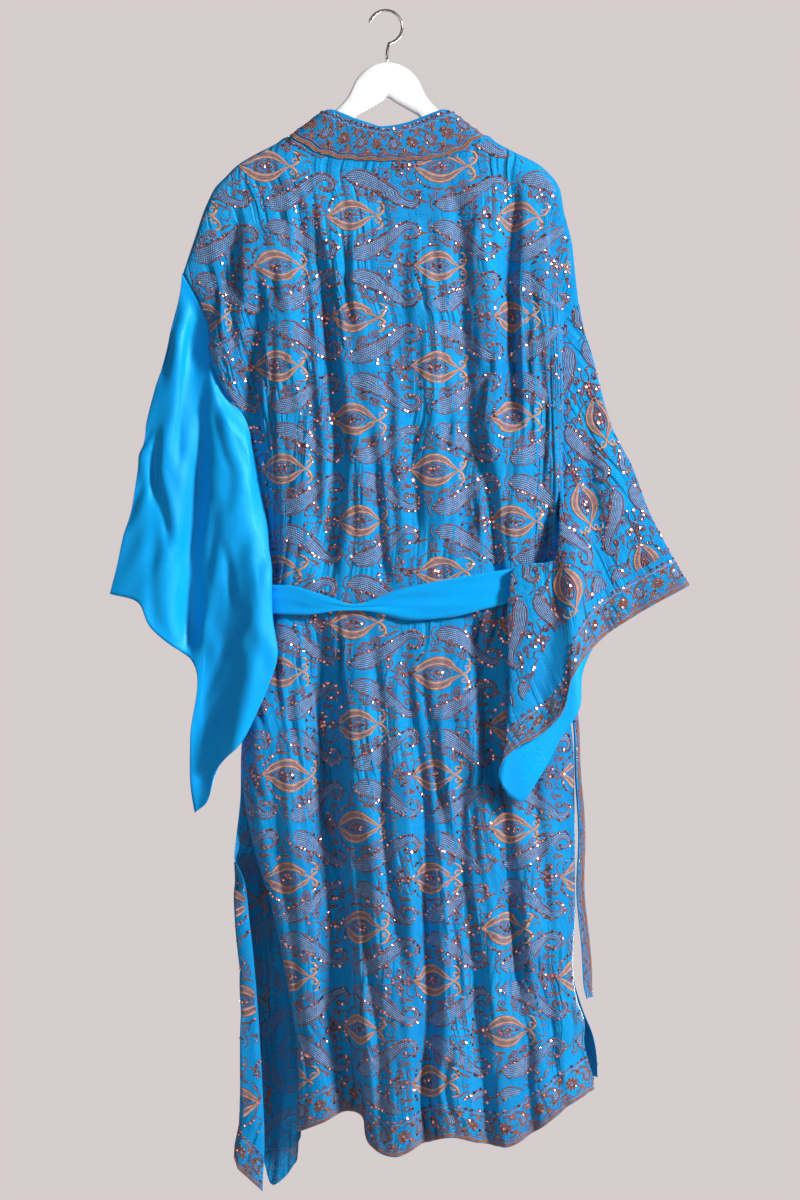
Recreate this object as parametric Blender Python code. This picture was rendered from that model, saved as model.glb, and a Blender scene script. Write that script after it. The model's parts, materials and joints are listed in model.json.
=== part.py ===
"""A long kimono-style silk robe, hung by its shoulders on a flat hanger.

Frame: the origin is the inside top of the hook, where a rail bears on it. +Z is up, the
robe's back faces -Y and the wearer's right is +X. Every cut piece of cloth is one solid.
"""
import math
from collections import namedtuple

import bpy
import numpy as np

SILK_WALL = 0.0016
BAND_WALL = 0.0028
SASH_WALL = 0.0020
SEAM_GAP = 0.0003
SEWN_DOWN_TO = -0.585
HANGER_HALF = 0.006
HOOK_WIRE = 0.00175
HOOK_RADIUS = 0.0217

Place = namedtuple("Place", "x z")
Level = namedtuple("Level", "z depth")
Fold = namedtuple("Fold", "x_top x_middle x_low z_top z_low depth width")

# The shoulder line falls from the collar's seam to the top of each armhole.
LEFT_SHOULDER = [
    Place(-0.265, -0.342), Place(-0.250, -0.297), Place(-0.233, -0.249), Place(-0.222, -0.228),
    Place(-0.211, -0.217), Place(-0.1955, -0.2014), Place(-0.1735, -0.1875),
    Place(-0.1456, -0.1734), Place(-0.1275, -0.1637),
]
RIGHT_SHOULDER = [
    Place(0.1275, -0.1612), Place(0.1417, -0.1706), Place(0.166, -0.1836), Place(0.1998, -0.2014),
    Place(0.2119, -0.2124), Place(0.2217, -0.2254), Place(0.2297, -0.2612),
    Place(0.2405, -0.3047), Place(0.2431, -0.3307), Place(0.249, -0.384),
]
BACK_NECK = [
    Place(-0.123, -0.1665), Place(-0.110, -0.1705), Place(-0.096, -0.1815), Place(-0.044, -0.193),
    Place(0.012, -0.1945), Place(0.069, -0.191), Place(0.096, -0.1815), Place(0.110, -0.1705),
    Place(0.123, -0.1650),
]
LEFT_ARMHOLE = [
    Place(-0.265, -0.342), Place(-0.247, -0.375), Place(-0.233, -0.407), Place(-0.229, -0.453),
    Place(-0.207, -0.501), Place(-0.191, -0.523), Place(-0.177, -0.576), Place(-0.168, -0.606),
]
RIGHT_ARMHOLE = [
    Place(0.249, -0.384), Place(0.233, -0.399), Place(0.228, -0.433), Place(0.229, -0.505),
    Place(0.2275, -0.570), Place(0.228, -0.648), Place(0.222, -0.704),
]
# The right sleeve hangs over the robe's back: its seam edge runs on past the armpit.
RIGHT_SLEEVE_SEAM = [
    Place(0.2505, -0.3840), Place(0.2350, -0.3995), Place(0.2293, -0.433), Place(0.2303, -0.505),
    Place(0.2295, -0.570), Place(0.2300, -0.640), Place(0.2295, -0.672), Place(0.2265, -0.700),
    Place(0.2180, -0.713), Place(0.205, -0.717), Place(0.190, -0.7175), Place(0.172, -0.7195),
    Place(0.160, -0.727),
]
LEFT_SLEEVE_SEAM = [
    Place(-0.2662, -0.3430), Place(-0.2487, -0.3758), Place(-0.2374, -0.4090),
    Place(-0.2317, -0.4545), Place(-0.2094, -0.5025), Place(-0.1934, -0.5240),
    Place(-0.1792, -0.5765), Place(-0.1720, -0.609),
]
LEFT_SIDE = [
    Place(-0.161, -0.661), Place(-0.157, -0.713), Place(-0.155, -0.765), Place(-0.163, -0.830),
    Place(-0.175, -0.895), Place(-0.187, -0.940),
]
RIGHT_SIDE = [
    Place(0.216, -0.735), Place(0.2145, -0.765), Place(0.220, -0.830), Place(0.233, -0.895),
    Place(0.241, -0.947),
]
BACK_LEFT_SLIT = [
    Place(-0.185, -1.025), Place(-0.172, -1.090), Place(-0.152, -1.155), Place(-0.135, -1.233),
    Place(-0.126, -1.285), Place(-0.117, -1.350), Place(-0.117, -1.455),
]
BACK_RIGHT_SLIT = [
    Place(0.243, -1.000), Place(0.244, -1.155), Place(0.247, -1.285), Place(0.256, -1.311),
    Place(0.256, -1.340), Place(0.261, -1.363), Place(0.268, -1.388), Place(0.269, -1.399),
]
BACK_HEM = [
    Place(-0.117, -1.455), Place(-0.084, -1.441), Place(-0.050, -1.428), Place(-0.034, -1.432),
    Place(-0.024, -1.466), Place(-0.009, -1.476), Place(0.009, -1.480), Place(0.048, -1.464),
    Place(0.082, -1.455), Place(0.117, -1.462), Place(0.152, -1.468), Place(0.192, -1.448),
    Place(0.243, -1.412), Place(0.269, -1.399),
]
FRONT_LEFT_SLIT = [
    Place(-0.191, -1.025), Place(-0.196, -1.077), Place(-0.200, -1.135), Place(-0.195, -1.233),
    Place(-0.193, -1.285), Place(-0.191, -1.363), Place(-0.192, -1.415), Place(-0.199, -1.460),
]
FRONT_LEFT_HEM = [
    Place(-0.199, -1.460), Place(-0.178, -1.480), Place(-0.163, -1.499), Place(-0.149, -1.531),
    Place(-0.133, -1.519), Place(-0.122, -1.503), Place(-0.112, -1.452), Place(-0.090, -1.420),
    Place(-0.050, -1.408), Place(-0.020, -1.408),
]
FRONT_RIGHT_SLIT = [
    Place(0.237, -1.000), Place(0.237, -1.155), Place(0.243, -1.260), Place(0.256, -1.302),
    Place(0.268, -1.332), Place(0.272, -1.352), Place(0.274, -1.386),
]
FRONT_RIGHT_HEM = [
    Place(0.020, -1.410), Place(0.080, -1.405), Place(0.160, -1.398), Place(0.225, -1.388),
    Place(0.274, -1.386),
]
LEFT_FRONT_EDGE = [
    Place(-0.1275, -0.1637), Place(-0.122, -0.200), Place(-0.100, -0.300), Place(-0.061, -0.500),
    Place(-0.028, -0.680), Place(-0.020, -0.780), Place(-0.020, -1.408),
]
RIGHT_FRONT_EDGE = [
    Place(0.1275, -0.1612), Place(0.122, -0.200), Place(0.100, -0.300), Place(0.061, -0.500),
    Place(0.028, -0.680), Place(0.020, -0.780), Place(0.020, -1.410),
]

LEFT_SLEEVE_TOP = [
    Place(-0.2662, -0.3430), Place(-0.269, -0.368), Place(-0.279, -0.401), Place(-0.295, -0.466),
    Place(-0.311, -0.531), Place(-0.334, -0.648), Place(-0.360, -0.757),
]
LEFT_SLEEVE_CUFF = [
    Place(-0.360, -0.757), Place(-0.321, -0.770), Place(-0.309, -0.797), Place(-0.285, -0.820),
    Place(-0.2545, -0.841), Place(-0.255, -0.947), Place(-0.2545, -1.010), Place(-0.250, -1.041),
]
LEFT_SLEEVE_UNDER = [
    Place(-0.1720, -0.609), Place(-0.168, -0.640), Place(-0.161, -0.690), Place(-0.149, -0.778),
    Place(-0.142, -0.836), Place(-0.155, -0.882), Place(-0.168, -0.911), Place(-0.185, -0.944), Place(-0.221, -0.986),
    Place(-0.236, -1.030), Place(-0.250, -1.041),
]
RIGHT_SLEEVE_TOP = [
    Place(0.2505, -0.3840), Place(0.256, -0.414), Place(0.265, -0.441), Place(0.277, -0.488),
    Place(0.292, -0.539), Place(0.319, -0.593), Place(0.341, -0.651), Place(0.367, -0.701),
    Place(0.393, -0.746),
]
RIGHT_SLEEVE_UNDER = [
    Place(0.160, -0.727), Place(0.156, -0.765), Place(0.156, -0.830), Place(0.156, -0.895),
    Place(0.150, -0.953), Place(0.143, -0.992),
]
RIGHT_CUFF_BACK = [
    Place(0.393, -0.746), Place(0.329, -0.781), Place(0.277, -0.816), Place(0.248, -0.847),
    Place(0.237, -0.866), Place(0.226, -0.907), Place(0.200, -0.936), Place(0.169, -0.953),
    Place(0.147, -0.974), Place(0.143, -0.992),
]
RIGHT_CUFF_FRONT = [
    Place(0.393, -0.746), Place(0.329, -0.778), Place(0.277, -0.814), Place(0.253, -0.857),
    Place(0.248, -0.905), Place(0.224, -0.943), Place(0.192, -0.999), Place(0.172, -1.025),
    Place(0.152, -1.011), Place(0.143, -0.992),
]

# How far the cloth stands off the robe's middle plane, level by level.
BACK_FULLNESS = [
    Level(-0.15, 0.011), Level(-0.25, 0.022), Level(-0.40, 0.036), Level(-0.60, 0.036),
    Level(-0.715, 0.0305), Level(-0.80, 0.0305), Level(-0.92, 0.043), Level(-1.20, 0.054),
    Level(-1.50, 0.062),
]
FRONT_FULLNESS = [
    Level(-0.15, 0.011), Level(-0.25, 0.018), Level(-0.40, 0.026), Level(-0.60, 0.028),
    Level(-0.715, 0.026), Level(-0.80, 0.026), Level(-1.00, 0.034), Level(-1.50, 0.042),
]
SIDE_STANDOFF = [
    Level(-0.34, 0.0012), Level(-0.40, 0.006), Level(-0.45, 0.010), Level(-0.55, 0.010),
    Level(-0.61, 0.005), Level(-0.66, 0.0012), Level(-0.93, 0.0012), Level(-1.02, 0.005),
    Level(-1.50, 0.007),
]

BACK_FOLDS = [
    Fold(-0.163, -0.174, -0.146, -0.32, -0.76, 0.026, 0.013),
    Fold(-0.200, -0.198, -0.194, -0.26, -0.46, 0.014, 0.009),
    Fold(-0.117, -0.099, -0.084, -0.21, -0.75, 0.015, 0.009),
    Fold(-0.106, -0.070, -0.076, -0.25, -0.76, 0.022, 0.011),
    Fold(-0.028, -0.013, 0.004, -0.52, -0.76, 0.012, 0.008),
    Fold(0.021, 0.025, 0.050, -0.24, -0.73, 0.008, 0.011),
    Fold(0.088, 0.103, 0.105, -0.21, -0.74, 0.020, 0.012),
    Fold(0.156, 0.161, 0.160, -0.19, -0.56, 0.030, 0.010),
    Fold(0.116, 0.133, 0.148, -0.54, -0.77, 0.022, 0.010),
    Fold(0.204, 0.205, 0.205, -0.42, -0.72, 0.010, 0.009),
    Fold(-0.088, -0.068, -0.030, -0.76, -1.60, 0.085, 0.020),
    Fold(0.012, 0.054, 0.036, -0.77, -1.60, 0.022, 0.011),
    Fold(0.082, 0.107, 0.152, -0.82, -1.60, 0.014, 0.012),
    Fold(0.106, 0.124, 0.146, -0.77, -1.03, 0.026, 0.012),
    Fold(0.158, 0.176, 0.203, -1.04, -1.60, 0.012, 0.012),
    Fold(-0.150, -0.140, -0.128, -0.80, -1.20, 0.008, 0.012),
]
FRONT_LEFT_FOLDS = [
    Fold(-0.190, -0.175, -0.115, -0.27, -0.72, 0.014, 0.012),
    Fold(-0.120, -0.085, -0.060, -0.26, -0.75, 0.013, 0.012),
    Fold(-0.110, -0.120, -0.130, -0.80, -1.60, 0.016, 0.016),
    Fold(-0.060, -0.066, -0.074, -0.81, -1.60, 0.012, 0.014),
]
FRONT_RIGHT_FOLDS = [
    Fold(0.186, 0.170, 0.120, -0.27, -0.72, 0.015, 0.013),
    Fold(0.130, 0.092, 0.066, -0.25, -0.75, 0.012, 0.012),
    Fold(0.080, 0.096, 0.104, -0.81, -1.60, 0.015, 0.016),
    Fold(0.150, 0.165, 0.182, -0.84, -1.60, 0.014, 0.015),
]
LEFT_SLEEVE_FOLDS = [
    Fold(-0.238, -0.2465, -0.260, -0.27, -0.87, 0.026, 0.012),
    Fold(-0.304, -0.303, -0.300, -0.56, -0.82, 0.007, 0.010),
]
LEFT_SLEEVE_RIDGES = [
    Fold(-0.208, -0.190, -0.205, -0.36, -1.00, 0.013, 0.030),
    Fold(-0.262, -0.290, -0.315, -0.34, -0.86, 0.008, 0.026),
]
RIGHT_SLEEVE_FOLDS = [
    Fold(0.262, 0.262, 0.262, -0.43, -0.84, 0.008, 0.012),
    Fold(0.214, 0.206, 0.192, -0.72, -0.97, 0.012, 0.011),
    Fold(0.310, 0.318, 0.330, -0.58, -0.84, 0.005, 0.012),
]
RIGHT_SLEEVE_RIDGES = [
    Fold(0.240, 0.236, 0.232, -0.66, -0.98, 0.006, 0.014),
    Fold(0.290, 0.296, 0.300, -0.48, -0.84, 0.006, 0.022),
]

HangerStation = namedtuple("HangerStation", "x top bottom")
HANGER = [
    HangerStation(0.0, -0.0662, -0.1123), HangerStation(0.010, -0.0675, -0.1180),
    HangerStation(0.0195, -0.0707, -0.1235), HangerStation(0.030, -0.0775, -0.1295),
    HangerStation(0.0398, -0.0883, -0.1353), HangerStation(0.046, -0.1010, -0.1430),
    HangerStation(0.0514, -0.1114, -0.1510), HangerStation(0.065, -0.1266, -0.1680),
    HangerStation(0.081, -0.1390, -0.1800), HangerStation(0.096, -0.1480, -0.1890),
    HangerStation(0.124, -0.1680, -0.2030), HangerStation(0.1456, -0.1765, -0.2120),
    HangerStation(0.1735, -0.1908, -0.2230), HangerStation(0.1940, -0.2050, -0.2340),
    HangerStation(0.2050, -0.2168, -0.2400), HangerStation(0.2095, -0.2232, -0.2385),
]

SashRow = namedtuple("SashRow", "x top bottom")
SASH_BACK = [
    SashRow(-0.170, -0.745, -0.783), SashRow(-0.121, -0.746, -0.784),
    SashRow(-0.094, -0.755, -0.784), SashRow(-0.064, -0.764, -0.780),
    SashRow(-0.040, -0.770, -0.780), SashRow(-0.019, -0.763, -0.782),
    SashRow(0.008, -0.753, -0.788), SashRow(0.036, -0.746, -0.792),
    SashRow(0.093, -0.735, -0.786), SashRow(0.156, -0.725, -0.769),
    SashRow(0.230, -0.722, -0.765),
]


def smooth(value):
    """Ease from 0 to 1 as the value passes from 0 to 1."""
    share = np.clip(value, 0.0, 1.0)
    return share * share * (3.0 - 2.0 * share)


def curve(rows, share):
    """Points on a rounded curve through the rows, at shares of its length."""
    points = np.array(rows, dtype=float)
    lengths = np.linalg.norm(np.diff(points, axis=0), axis=1)
    at = np.concatenate([[0.0], np.cumsum(lengths)])
    slope = np.gradient(points, at, axis=0)
    want = np.clip(np.asarray(share, dtype=float), 0.0, 1.0) * at[-1]
    place = np.clip(np.searchsorted(at, want, side="right") - 1, 0, len(lengths) - 1)
    span = lengths[place][..., None]
    t = ((want - at[place]) / lengths[place])[..., None]
    start, end = points[place], points[place + 1]
    rise, fall = slope[place] * span, slope[place + 1] * span
    return ((2 * t**3 - 3 * t**2 + 1) * start + (t**3 - 2 * t**2 + t) * rise
            + (3 * t**2 - 2 * t**3) * end + (t**3 - t**2) * fall)


def x_at_level(rows, z):
    """The x of a falling edge at each height."""
    line = curve(rows, np.linspace(0.0, 1.0, 400))
    order = np.argsort(line[:, 1])
    return np.interp(z, line[order, 1], line[order, 0])


def level_value(levels, z):
    """A depth read from a table of levels, with rounded steps."""
    low = np.array([row.z for row in levels])[::-1]
    depth = np.array([row.depth for row in levels])[::-1]
    near = [np.interp(z + shift, low, depth) for shift in (-0.02, -0.01, 0.0, 0.01, 0.02)]
    return sum(near) / len(near)


def fold_field(folds, x, z):
    """The summed depth of the folds at each place."""
    total = np.zeros_like(x)
    for fold in folds:
        share = np.clip((fold.z_top - z) / (fold.z_top - fold.z_low), 0.0, 1.0)
        centre = ((1 - share) * (1 - 2 * share) * fold.x_top
                  + 4 * share * (1 - share) * fold.x_middle
                  + share * (2 * share - 1) * fold.x_low)
        length = fold.z_top - fold.z_low
        ends = smooth((fold.z_top - z) / (0.22 * length)) * smooth((z - fold.z_low) / (0.16 * length))
        total += fold.depth * ends * np.exp(-((x - centre) / fold.width) ** 2)
    return total


def patch(top, bottom, left, right, across, down, reach=1.0):
    """Fill four (x, z) edges; a larger reach keeps a side's bends closer to that side."""
    u, v = np.meshgrid(across, down)
    u, v = u[..., None], v[..., None]
    rows = (1 - v) * top(across)[None] + v * bottom(across)[None]
    down = np.asarray(down)[:, None]
    first = (1 - down) * top(np.zeros(1)) + down * bottom(np.zeros(1))
    last = (1 - down) * top(np.ones(1)) + down * bottom(np.ones(1))
    bend_left = left(down[:, 0]) - first
    bend_right = right(down[:, 0]) - last
    return rows + (1 - u) ** reach * bend_left[:, None] + u ** reach * bend_right[:, None]


def falling_edge(rows):
    """An edge sampled by equal steps of height."""
    def sample(down):
        z = rows[0].z + (rows[-1].z - rows[0].z) * np.asarray(down)
        return np.stack([x_at_level(rows, z), z], axis=-1)
    return sample


def length_edge(rows):
    """An edge sampled by equal steps of its length."""
    def sample(share):
        return curve(rows, np.asarray(share))
    return sample


def dimple(depth, valley, least):
    """Press a valley into a stand-off without passing the least one."""
    room = np.maximum(depth - least, 1e-6)
    return depth - room * (1.0 - np.exp(-np.maximum(valley, 0.0) / room))


def resample(rows, count):
    """Space each row of points evenly along its own length."""
    spaced = []
    for row in rows:
        steps = np.linalg.norm(np.diff(row, axis=0), axis=1)
        at = np.concatenate([[0.0], np.cumsum(steps)])
        want = np.linspace(0.0, at[-1], count)
        spaced.append(np.stack([np.interp(want, at, row[:, axis]) for axis in range(3)], axis=-1))
    return np.array(spaced)


def down_shares(count):
    """Rows that are close together where the cloth rolls over the shoulders."""
    roll = [0.0, 0.0022, 0.0055, 0.011, 0.021]
    return np.concatenate([roll, np.linspace(0.038, 1.0, count - len(roll))])


def side_standoff(x, z):
    """How far a seam edge stands off; the right armpit is lower than the left one."""
    return level_value(SIDE_STANDOFF, z + 0.078 * smooth((x + 0.10) / 0.20) * smooth((-z - 0.30) / 0.2))


def body_depth(u_edge, x, z, drop, fullness, neck):
    """Stand-off of the body's cloth before folds: rolled at the shoulders, thin at the sides."""
    roll = 0.0012 + 0.0088 * (1.0 - np.exp(-drop / 0.004))
    roll = roll + (0.0100 - roll) * neck
    full = level_value(fullness, z)
    standing = roll + np.maximum(full - 0.0100, 0.0) * smooth(drop / 0.13)
    return side_standoff(x, z) * (1.0 - u_edge) + standing * u_edge


def back_grid(count_across, count_down, plain=False):
    """The back panel's middle surface; plain leaves out its folds."""
    top = LEFT_SHOULDER + BACK_NECK + RIGHT_SHOULDER
    left = LEFT_ARMHOLE + LEFT_SIDE + BACK_LEFT_SLIT
    right = RIGHT_ARMHOLE + RIGHT_SIDE + BACK_RIGHT_SLIT
    fine = np.linspace(0.0, 1.0, 361)
    down = down_shares(count_down)
    plan = patch(length_edge(top), length_edge(BACK_HEM), falling_edge(left), falling_edge(right),
                 fine, down)
    x, z = plan[..., 0], plan[..., 1]
    drop = plan[:1, :, 1] - z
    edge = np.sqrt(1.0 - np.abs(2.0 * fine - 1.0) ** 3.2)[None]
    neck = smooth((0.1275 - np.abs(plan[:1, :, 0])) / 0.004) * smooth(1.0 - drop / 0.05)
    depth = body_depth(edge, x, z, drop, BACK_FULLNESS, neck)
    if plain:
        return np.stack([x, -depth, z], axis=-1)
    behind = 0.020 * smooth((-0.030 - x) / 0.035) * smooth((-0.98 - z) / 0.25)
    valley = fold_field(BACK_FOLDS, x, z) * smooth(drop / 0.05) + behind * edge
    depth = dimple(depth, valley, 0.0030)
    return resample(np.stack([x, -depth, z], axis=-1), count_across)


def turned_edge(row_z, first, depth):
    """The slit edge that curls round towards the back, from its free edge to the fold."""
    turn = math.pi * smooth((-1.035 - row_z) / 0.13)
    width = np.interp(-row_z, [0.94, 1.155, 1.233, 1.337, 1.44, 1.54],
                      [0.014, 0.023, 0.027, 0.033, 0.043, 0.060])
    pieces = 5
    heading = [math.pi + turn * min((index + 0.5) / 3.0, 1.0) for index in range(pieces)]
    step = [width / (1.6 * pieces) if index < 3 else width * 0.7 / (pieces - 3)
            for index in range(pieces)]
    ahead = np.cumsum([[size * math.cos(angle), size * math.sin(angle)]
                       for angle, size in zip(heading, step)], axis=0)
    low = smooth((-1.30 - row_z) / 0.16)
    slant = np.linspace(0.0, 1.0, pieces + 1)[1:] * -0.073 * low
    hinge = first[0] - ahead[:, 0].min()
    flap = np.stack([hinge + ahead[:, 0], depth + ahead[:, 1], first[1] + slant], axis=-1)
    return hinge, flap[::-1]


def front_grid(side, count_across, count_down, plain=False):
    """A front panel's middle surface; side is -1 for the wearer's left and 1 for the right."""
    if side < 0:
        outer = LEFT_ARMHOLE + LEFT_SIDE + FRONT_LEFT_SLIT
        shoulder, hem, inner, folds = LEFT_SHOULDER, FRONT_LEFT_HEM, LEFT_FRONT_EDGE, FRONT_LEFT_FOLDS
        left, right = falling_edge(outer), falling_edge(inner)
    else:
        outer = RIGHT_ARMHOLE + RIGHT_SIDE + FRONT_RIGHT_SLIT
        shoulder, hem, inner, folds = RIGHT_SHOULDER, FRONT_RIGHT_HEM, RIGHT_FRONT_EDGE, FRONT_RIGHT_FOLDS
        left, right = falling_edge(inner), falling_edge(outer)
    fine = np.linspace(0.0, 1.0, 241)
    down = down_shares(count_down)
    plan = patch(length_edge(shoulder), length_edge(hem), left, right, fine, down)
    x, z = plan[..., 0], plan[..., 1]
    drop = plan[:1, :, 1] - z
    inwards = fine if side < 0 else 1.0 - fine
    edge = np.sqrt(1.0 - (1.0 - inwards) ** 3.2)[None]
    neck = smooth((0.134 - np.abs(plan[:1, :, 0])) / 0.010) * smooth(1.0 - drop / 0.05)
    depth = body_depth(edge, x, z, drop, FRONT_FULLNESS, neck)
    if not plain:
        depth = dimple(depth, fold_field(folds, x, z) * smooth(drop / 0.05), 0.0045)
    if side < 0:
        depth = depth + 0.0075 * smooth((x + 0.070) / 0.040) * smooth((-0.45 - z) / 0.15)
    surface = np.stack([x, depth, z], axis=-1)
    if plain:
        return surface
    if side > 0:
        return resample(surface, count_across)
    rows = []
    for row in surface:
        hinge, flap = turned_edge(row[0, 2], row[0, [0, 2]], row[0, 1])
        body = row.copy()
        body[:, 0] = row[:, 0] + (hinge - row[0, 0]) * (1.0 - smooth(fine / 0.25))
        rows.append(np.concatenate([flap, resample([body], count_across)[0]]))
    return np.array(rows)


def sleeve_lean(side, x, z):
    """How far the low inner part of a sleeve swings behind the body, towards -Y."""
    if side < 0:
        start = np.interp(-z, [0.60, 0.66, 0.765, 0.83, 0.90, 0.95, 1.04],
                          [-0.178, -0.202, -0.206, -0.210, -0.224, -0.240, -0.250])
        swing = np.interp(-z, [0.70, 0.78, 0.92], [0.032, 0.037, 0.042])
        return -swing * smooth((x - start) / 0.050) * smooth((-0.622 - z) / 0.13)
    start = np.interp(-z, [0.56, 0.70, 0.78, 0.95, 1.05], [0.268, 0.286, 0.290, 0.302, 0.304])
    swing = np.interp(-z, [0.70, 0.80, 0.95, 1.03], [0.043, 0.049, 0.064, 0.068])
    return -swing * smooth((start - x) / 0.055) * smooth((-0.575 - z) / 0.14)


def sleeve_plan(side, cuff, around, along):
    """A sleeve half's (x, z) places: down the section, then along to the cuff."""
    if side < 0:
        top, under, armhole = LEFT_SLEEVE_TOP, LEFT_SLEEVE_UNDER, LEFT_SLEEVE_SEAM
    else:
        top, under, armhole = RIGHT_SLEEVE_TOP, RIGHT_SLEEVE_UNDER, RIGHT_SLEEVE_SEAM
    crowd = 1.0 if side < 0 else 2.3
    return patch(length_edge(armhole), lambda share: curve(cuff, np.asarray(share) ** crowd),
                 length_edge(top), length_edge(under), around, along, 1.6)


def sleeve_layer(side, face, cuff, around, along):
    """The middle surface of a sleeve's back (face -1) or front (face 1) layer."""
    plan = sleeve_plan(side, cuff, around, along)
    x, z = plan[..., 0], plan[..., 1]
    seam = side_standoff(x[:1], z[:1])
    bulge = np.sin(np.pi * np.clip(around, 0.0, 1.0))[None]
    floor = 0.0042 if side < 0 else 0.00095
    swell = (0.011 + 0.006 * along)[:, None] * bulge ** 0.7 + floor
    beyond = smooth((-0.565 - z[:1]) / 0.06) * (side > 0)
    near = np.maximum(smooth(along / 0.22)[:, None], beyond)
    half = seam * (1 - near) + swell * near
    lean = sleeve_lean(side, x, z) * np.maximum(smooth(along / 0.12)[:, None], beyond)
    y = lean + face * half
    inside = np.sin(np.pi * around)[None] ** 0.5 * smooth(along / 0.10)[:, None]
    if face < 0:
        folds = LEFT_SLEEVE_FOLDS if side < 0 else RIGHT_SLEEVE_FOLDS
        ridges = LEFT_SLEEVE_RIDGES if side < 0 else RIGHT_SLEEVE_RIDGES
        y = y - fold_field(ridges, x, z) * inside
        room = np.maximum(lean + half - y - 0.005, 1e-6)
        y = y + room * (1 - np.exp(-fold_field(folds, x, z) * inside / room))
    return np.stack([x, y, z], axis=-1)


def left_sleeve_loop(count_around, count_along):
    """Rings of the plain sleeve from the armhole to the cuff, closed at top and underarm."""
    along = np.linspace(0.0, 1.0, count_along)
    around = 0.5 - 0.5 * np.cos(np.linspace(0.0, np.pi, count_around))
    back = sleeve_layer(-1, -1, LEFT_SLEEVE_CUFF, around, along)
    front = sleeve_layer(-1, 1, LEFT_SLEEVE_CUFF, around, along)
    return np.concatenate([back, front[:, ::-1]], axis=1)


def square_off(normal):
    """Turn an edge's normals straight across the robe, so that seam edges lie parallel."""
    squared = np.zeros_like(normal)
    squared[..., 1] = np.where(normal[..., 1] < 0, -1.0, 1.0)
    return squared


def normals(grid, closed):
    """Unit normals of a grid."""
    if closed:
        wide = np.concatenate([grid[:, -1:], grid, grid[:, :1]], axis=1)
        across = (wide[:, 2:] - wide[:, :-2])
    else:
        across = np.gradient(grid, axis=1)
    down = np.gradient(grid, axis=0)
    normal = np.cross(across, down)
    return normal / np.maximum(np.linalg.norm(normal, axis=-1, keepdims=True), 1e-12)


def sheet_solid(name, grid, wall, colour, roughness, closed=False, square=""):
    """Thicken a grid of points into one closed solid; square names its seam edges."""
    rows, columns = grid.shape[:2]
    normal = normals(grid, closed)
    if "sides" in square:
        normal[:, 0] = square_off(normal[:, 0])
        normal[:, -1] = square_off(normal[:, -1])
    if "start" in square:
        sewn = grid[0, :, 2] > SEWN_DOWN_TO
        normal[0, sewn] = square_off(normal[0, sewn])
    outer = grid + normal * wall / 2
    inner = grid - normal * wall / 2
    points = np.concatenate([outer.reshape(-1, 3), inner.reshape(-1, 3)])
    offset = rows * columns
    faces = []
    last = columns if closed else columns - 1
    for row in range(rows - 1):
        for column in range(last):
            right = (column + 1) % columns
            a, b = row * columns + column, row * columns + right
            c, d = (row + 1) * columns + right, (row + 1) * columns + column
            faces.append((a, b, c))
            faces.append((a, c, d))
            faces.append((c + offset, b + offset, a + offset))
            faces.append((d + offset, c + offset, a + offset))
    for column in range(last):
        right = (column + 1) % columns
        low = (rows - 1) * columns
        faces.append((right, column, column + offset, right + offset))
        faces.append((low + column, low + right, low + right + offset, low + column + offset))
    if not closed:
        for row in range(rows - 1):
            here, below = row * columns, (row + 1) * columns
            faces.append((here, below, below + offset, here + offset))
            here, below = here + columns - 1, below + columns - 1
            faces.append((below, here, here + offset, below + offset))
    return mesh_object(name, points, faces, colour, roughness, 0.0)


def ring_solid(name, rings, colour, roughness, metallic):
    """Join rings of points into a closed bar with flat ends."""
    rings = np.array(rings)
    count, around = rings.shape[:2]
    faces = []
    for ring in range(count - 1):
        for side in range(around):
            after = (side + 1) % around
            a, b = ring * around + side, ring * around + after
            c, d = (ring + 1) * around + after, (ring + 1) * around + side
            faces.append((a, b, c))
            faces.append((a, c, d))
    faces.append(tuple(range(around - 1, -1, -1)))
    faces.append(tuple((count - 1) * around + side for side in range(around)))
    return mesh_object(name, rings.reshape(-1, 3), faces, colour, roughness, metallic)


def mesh_object(name, points, faces, colour, roughness, metallic):
    """A named object with its own material and outward faces."""
    mesh = bpy.data.meshes.new(name)
    mesh.from_pydata([tuple(float(value) for value in point) for point in points], [], faces)
    volume = sum(
        float(np.dot(points[face[0]], np.cross(points[face[step]], points[face[step + 1]])))
        for face in faces for step in range(1, len(face) - 1))
    if volume < 0:
        mesh.flip_normals()
    mesh.update()
    item = bpy.data.objects.new(name, mesh)
    bpy.context.scene.collection.objects.link(item)
    material = bpy.data.materials.new(name)
    material.use_nodes = True
    shader = material.node_tree.nodes["Principled BSDF"]
    shader.inputs["Base Color"].default_value = (*colour, 1.0)
    shader.inputs["Roughness"].default_value = roughness
    shader.inputs["Metallic"].default_value = metallic
    mesh.materials.append(material)
    return item


def hold_back(grid, first_row=0.0, last_column=0.0, first_column=0.0):
    """Draw edges in by the seam gap so that neighbours stay apart."""
    moved = grid.copy()
    if first_row:
        step = grid[1] - grid[0]
        reach = np.linalg.norm(step, axis=-1, keepdims=True)
        moved[0] = grid[0] + step / reach * first_row
    if last_column:
        step = grid[:, -2] - grid[:, -1]
        reach = np.linalg.norm(step, axis=-1, keepdims=True)
        moved[:, -1] = grid[:, -1] + step / reach * last_column
    if first_column:
        step = grid[:, 1] - grid[:, 0]
        reach = np.linalg.norm(step, axis=-1, keepdims=True)
        moved[:, 0] = grid[:, 0] + step / reach * first_column
    return moved


def front_band_depth(side, x, z):
    """Where a front band lies: the left one over the right one."""
    depth = level_value(FRONT_FULLNESS, z)
    drop = -0.160 - z
    standing = 0.0100 + np.maximum(depth - 0.0100, 0.0) * smooth(drop / 0.13)
    if side < 0:
        standing = standing + 0.0075 * smooth((-0.45 - z) / 0.15)
    return standing


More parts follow.
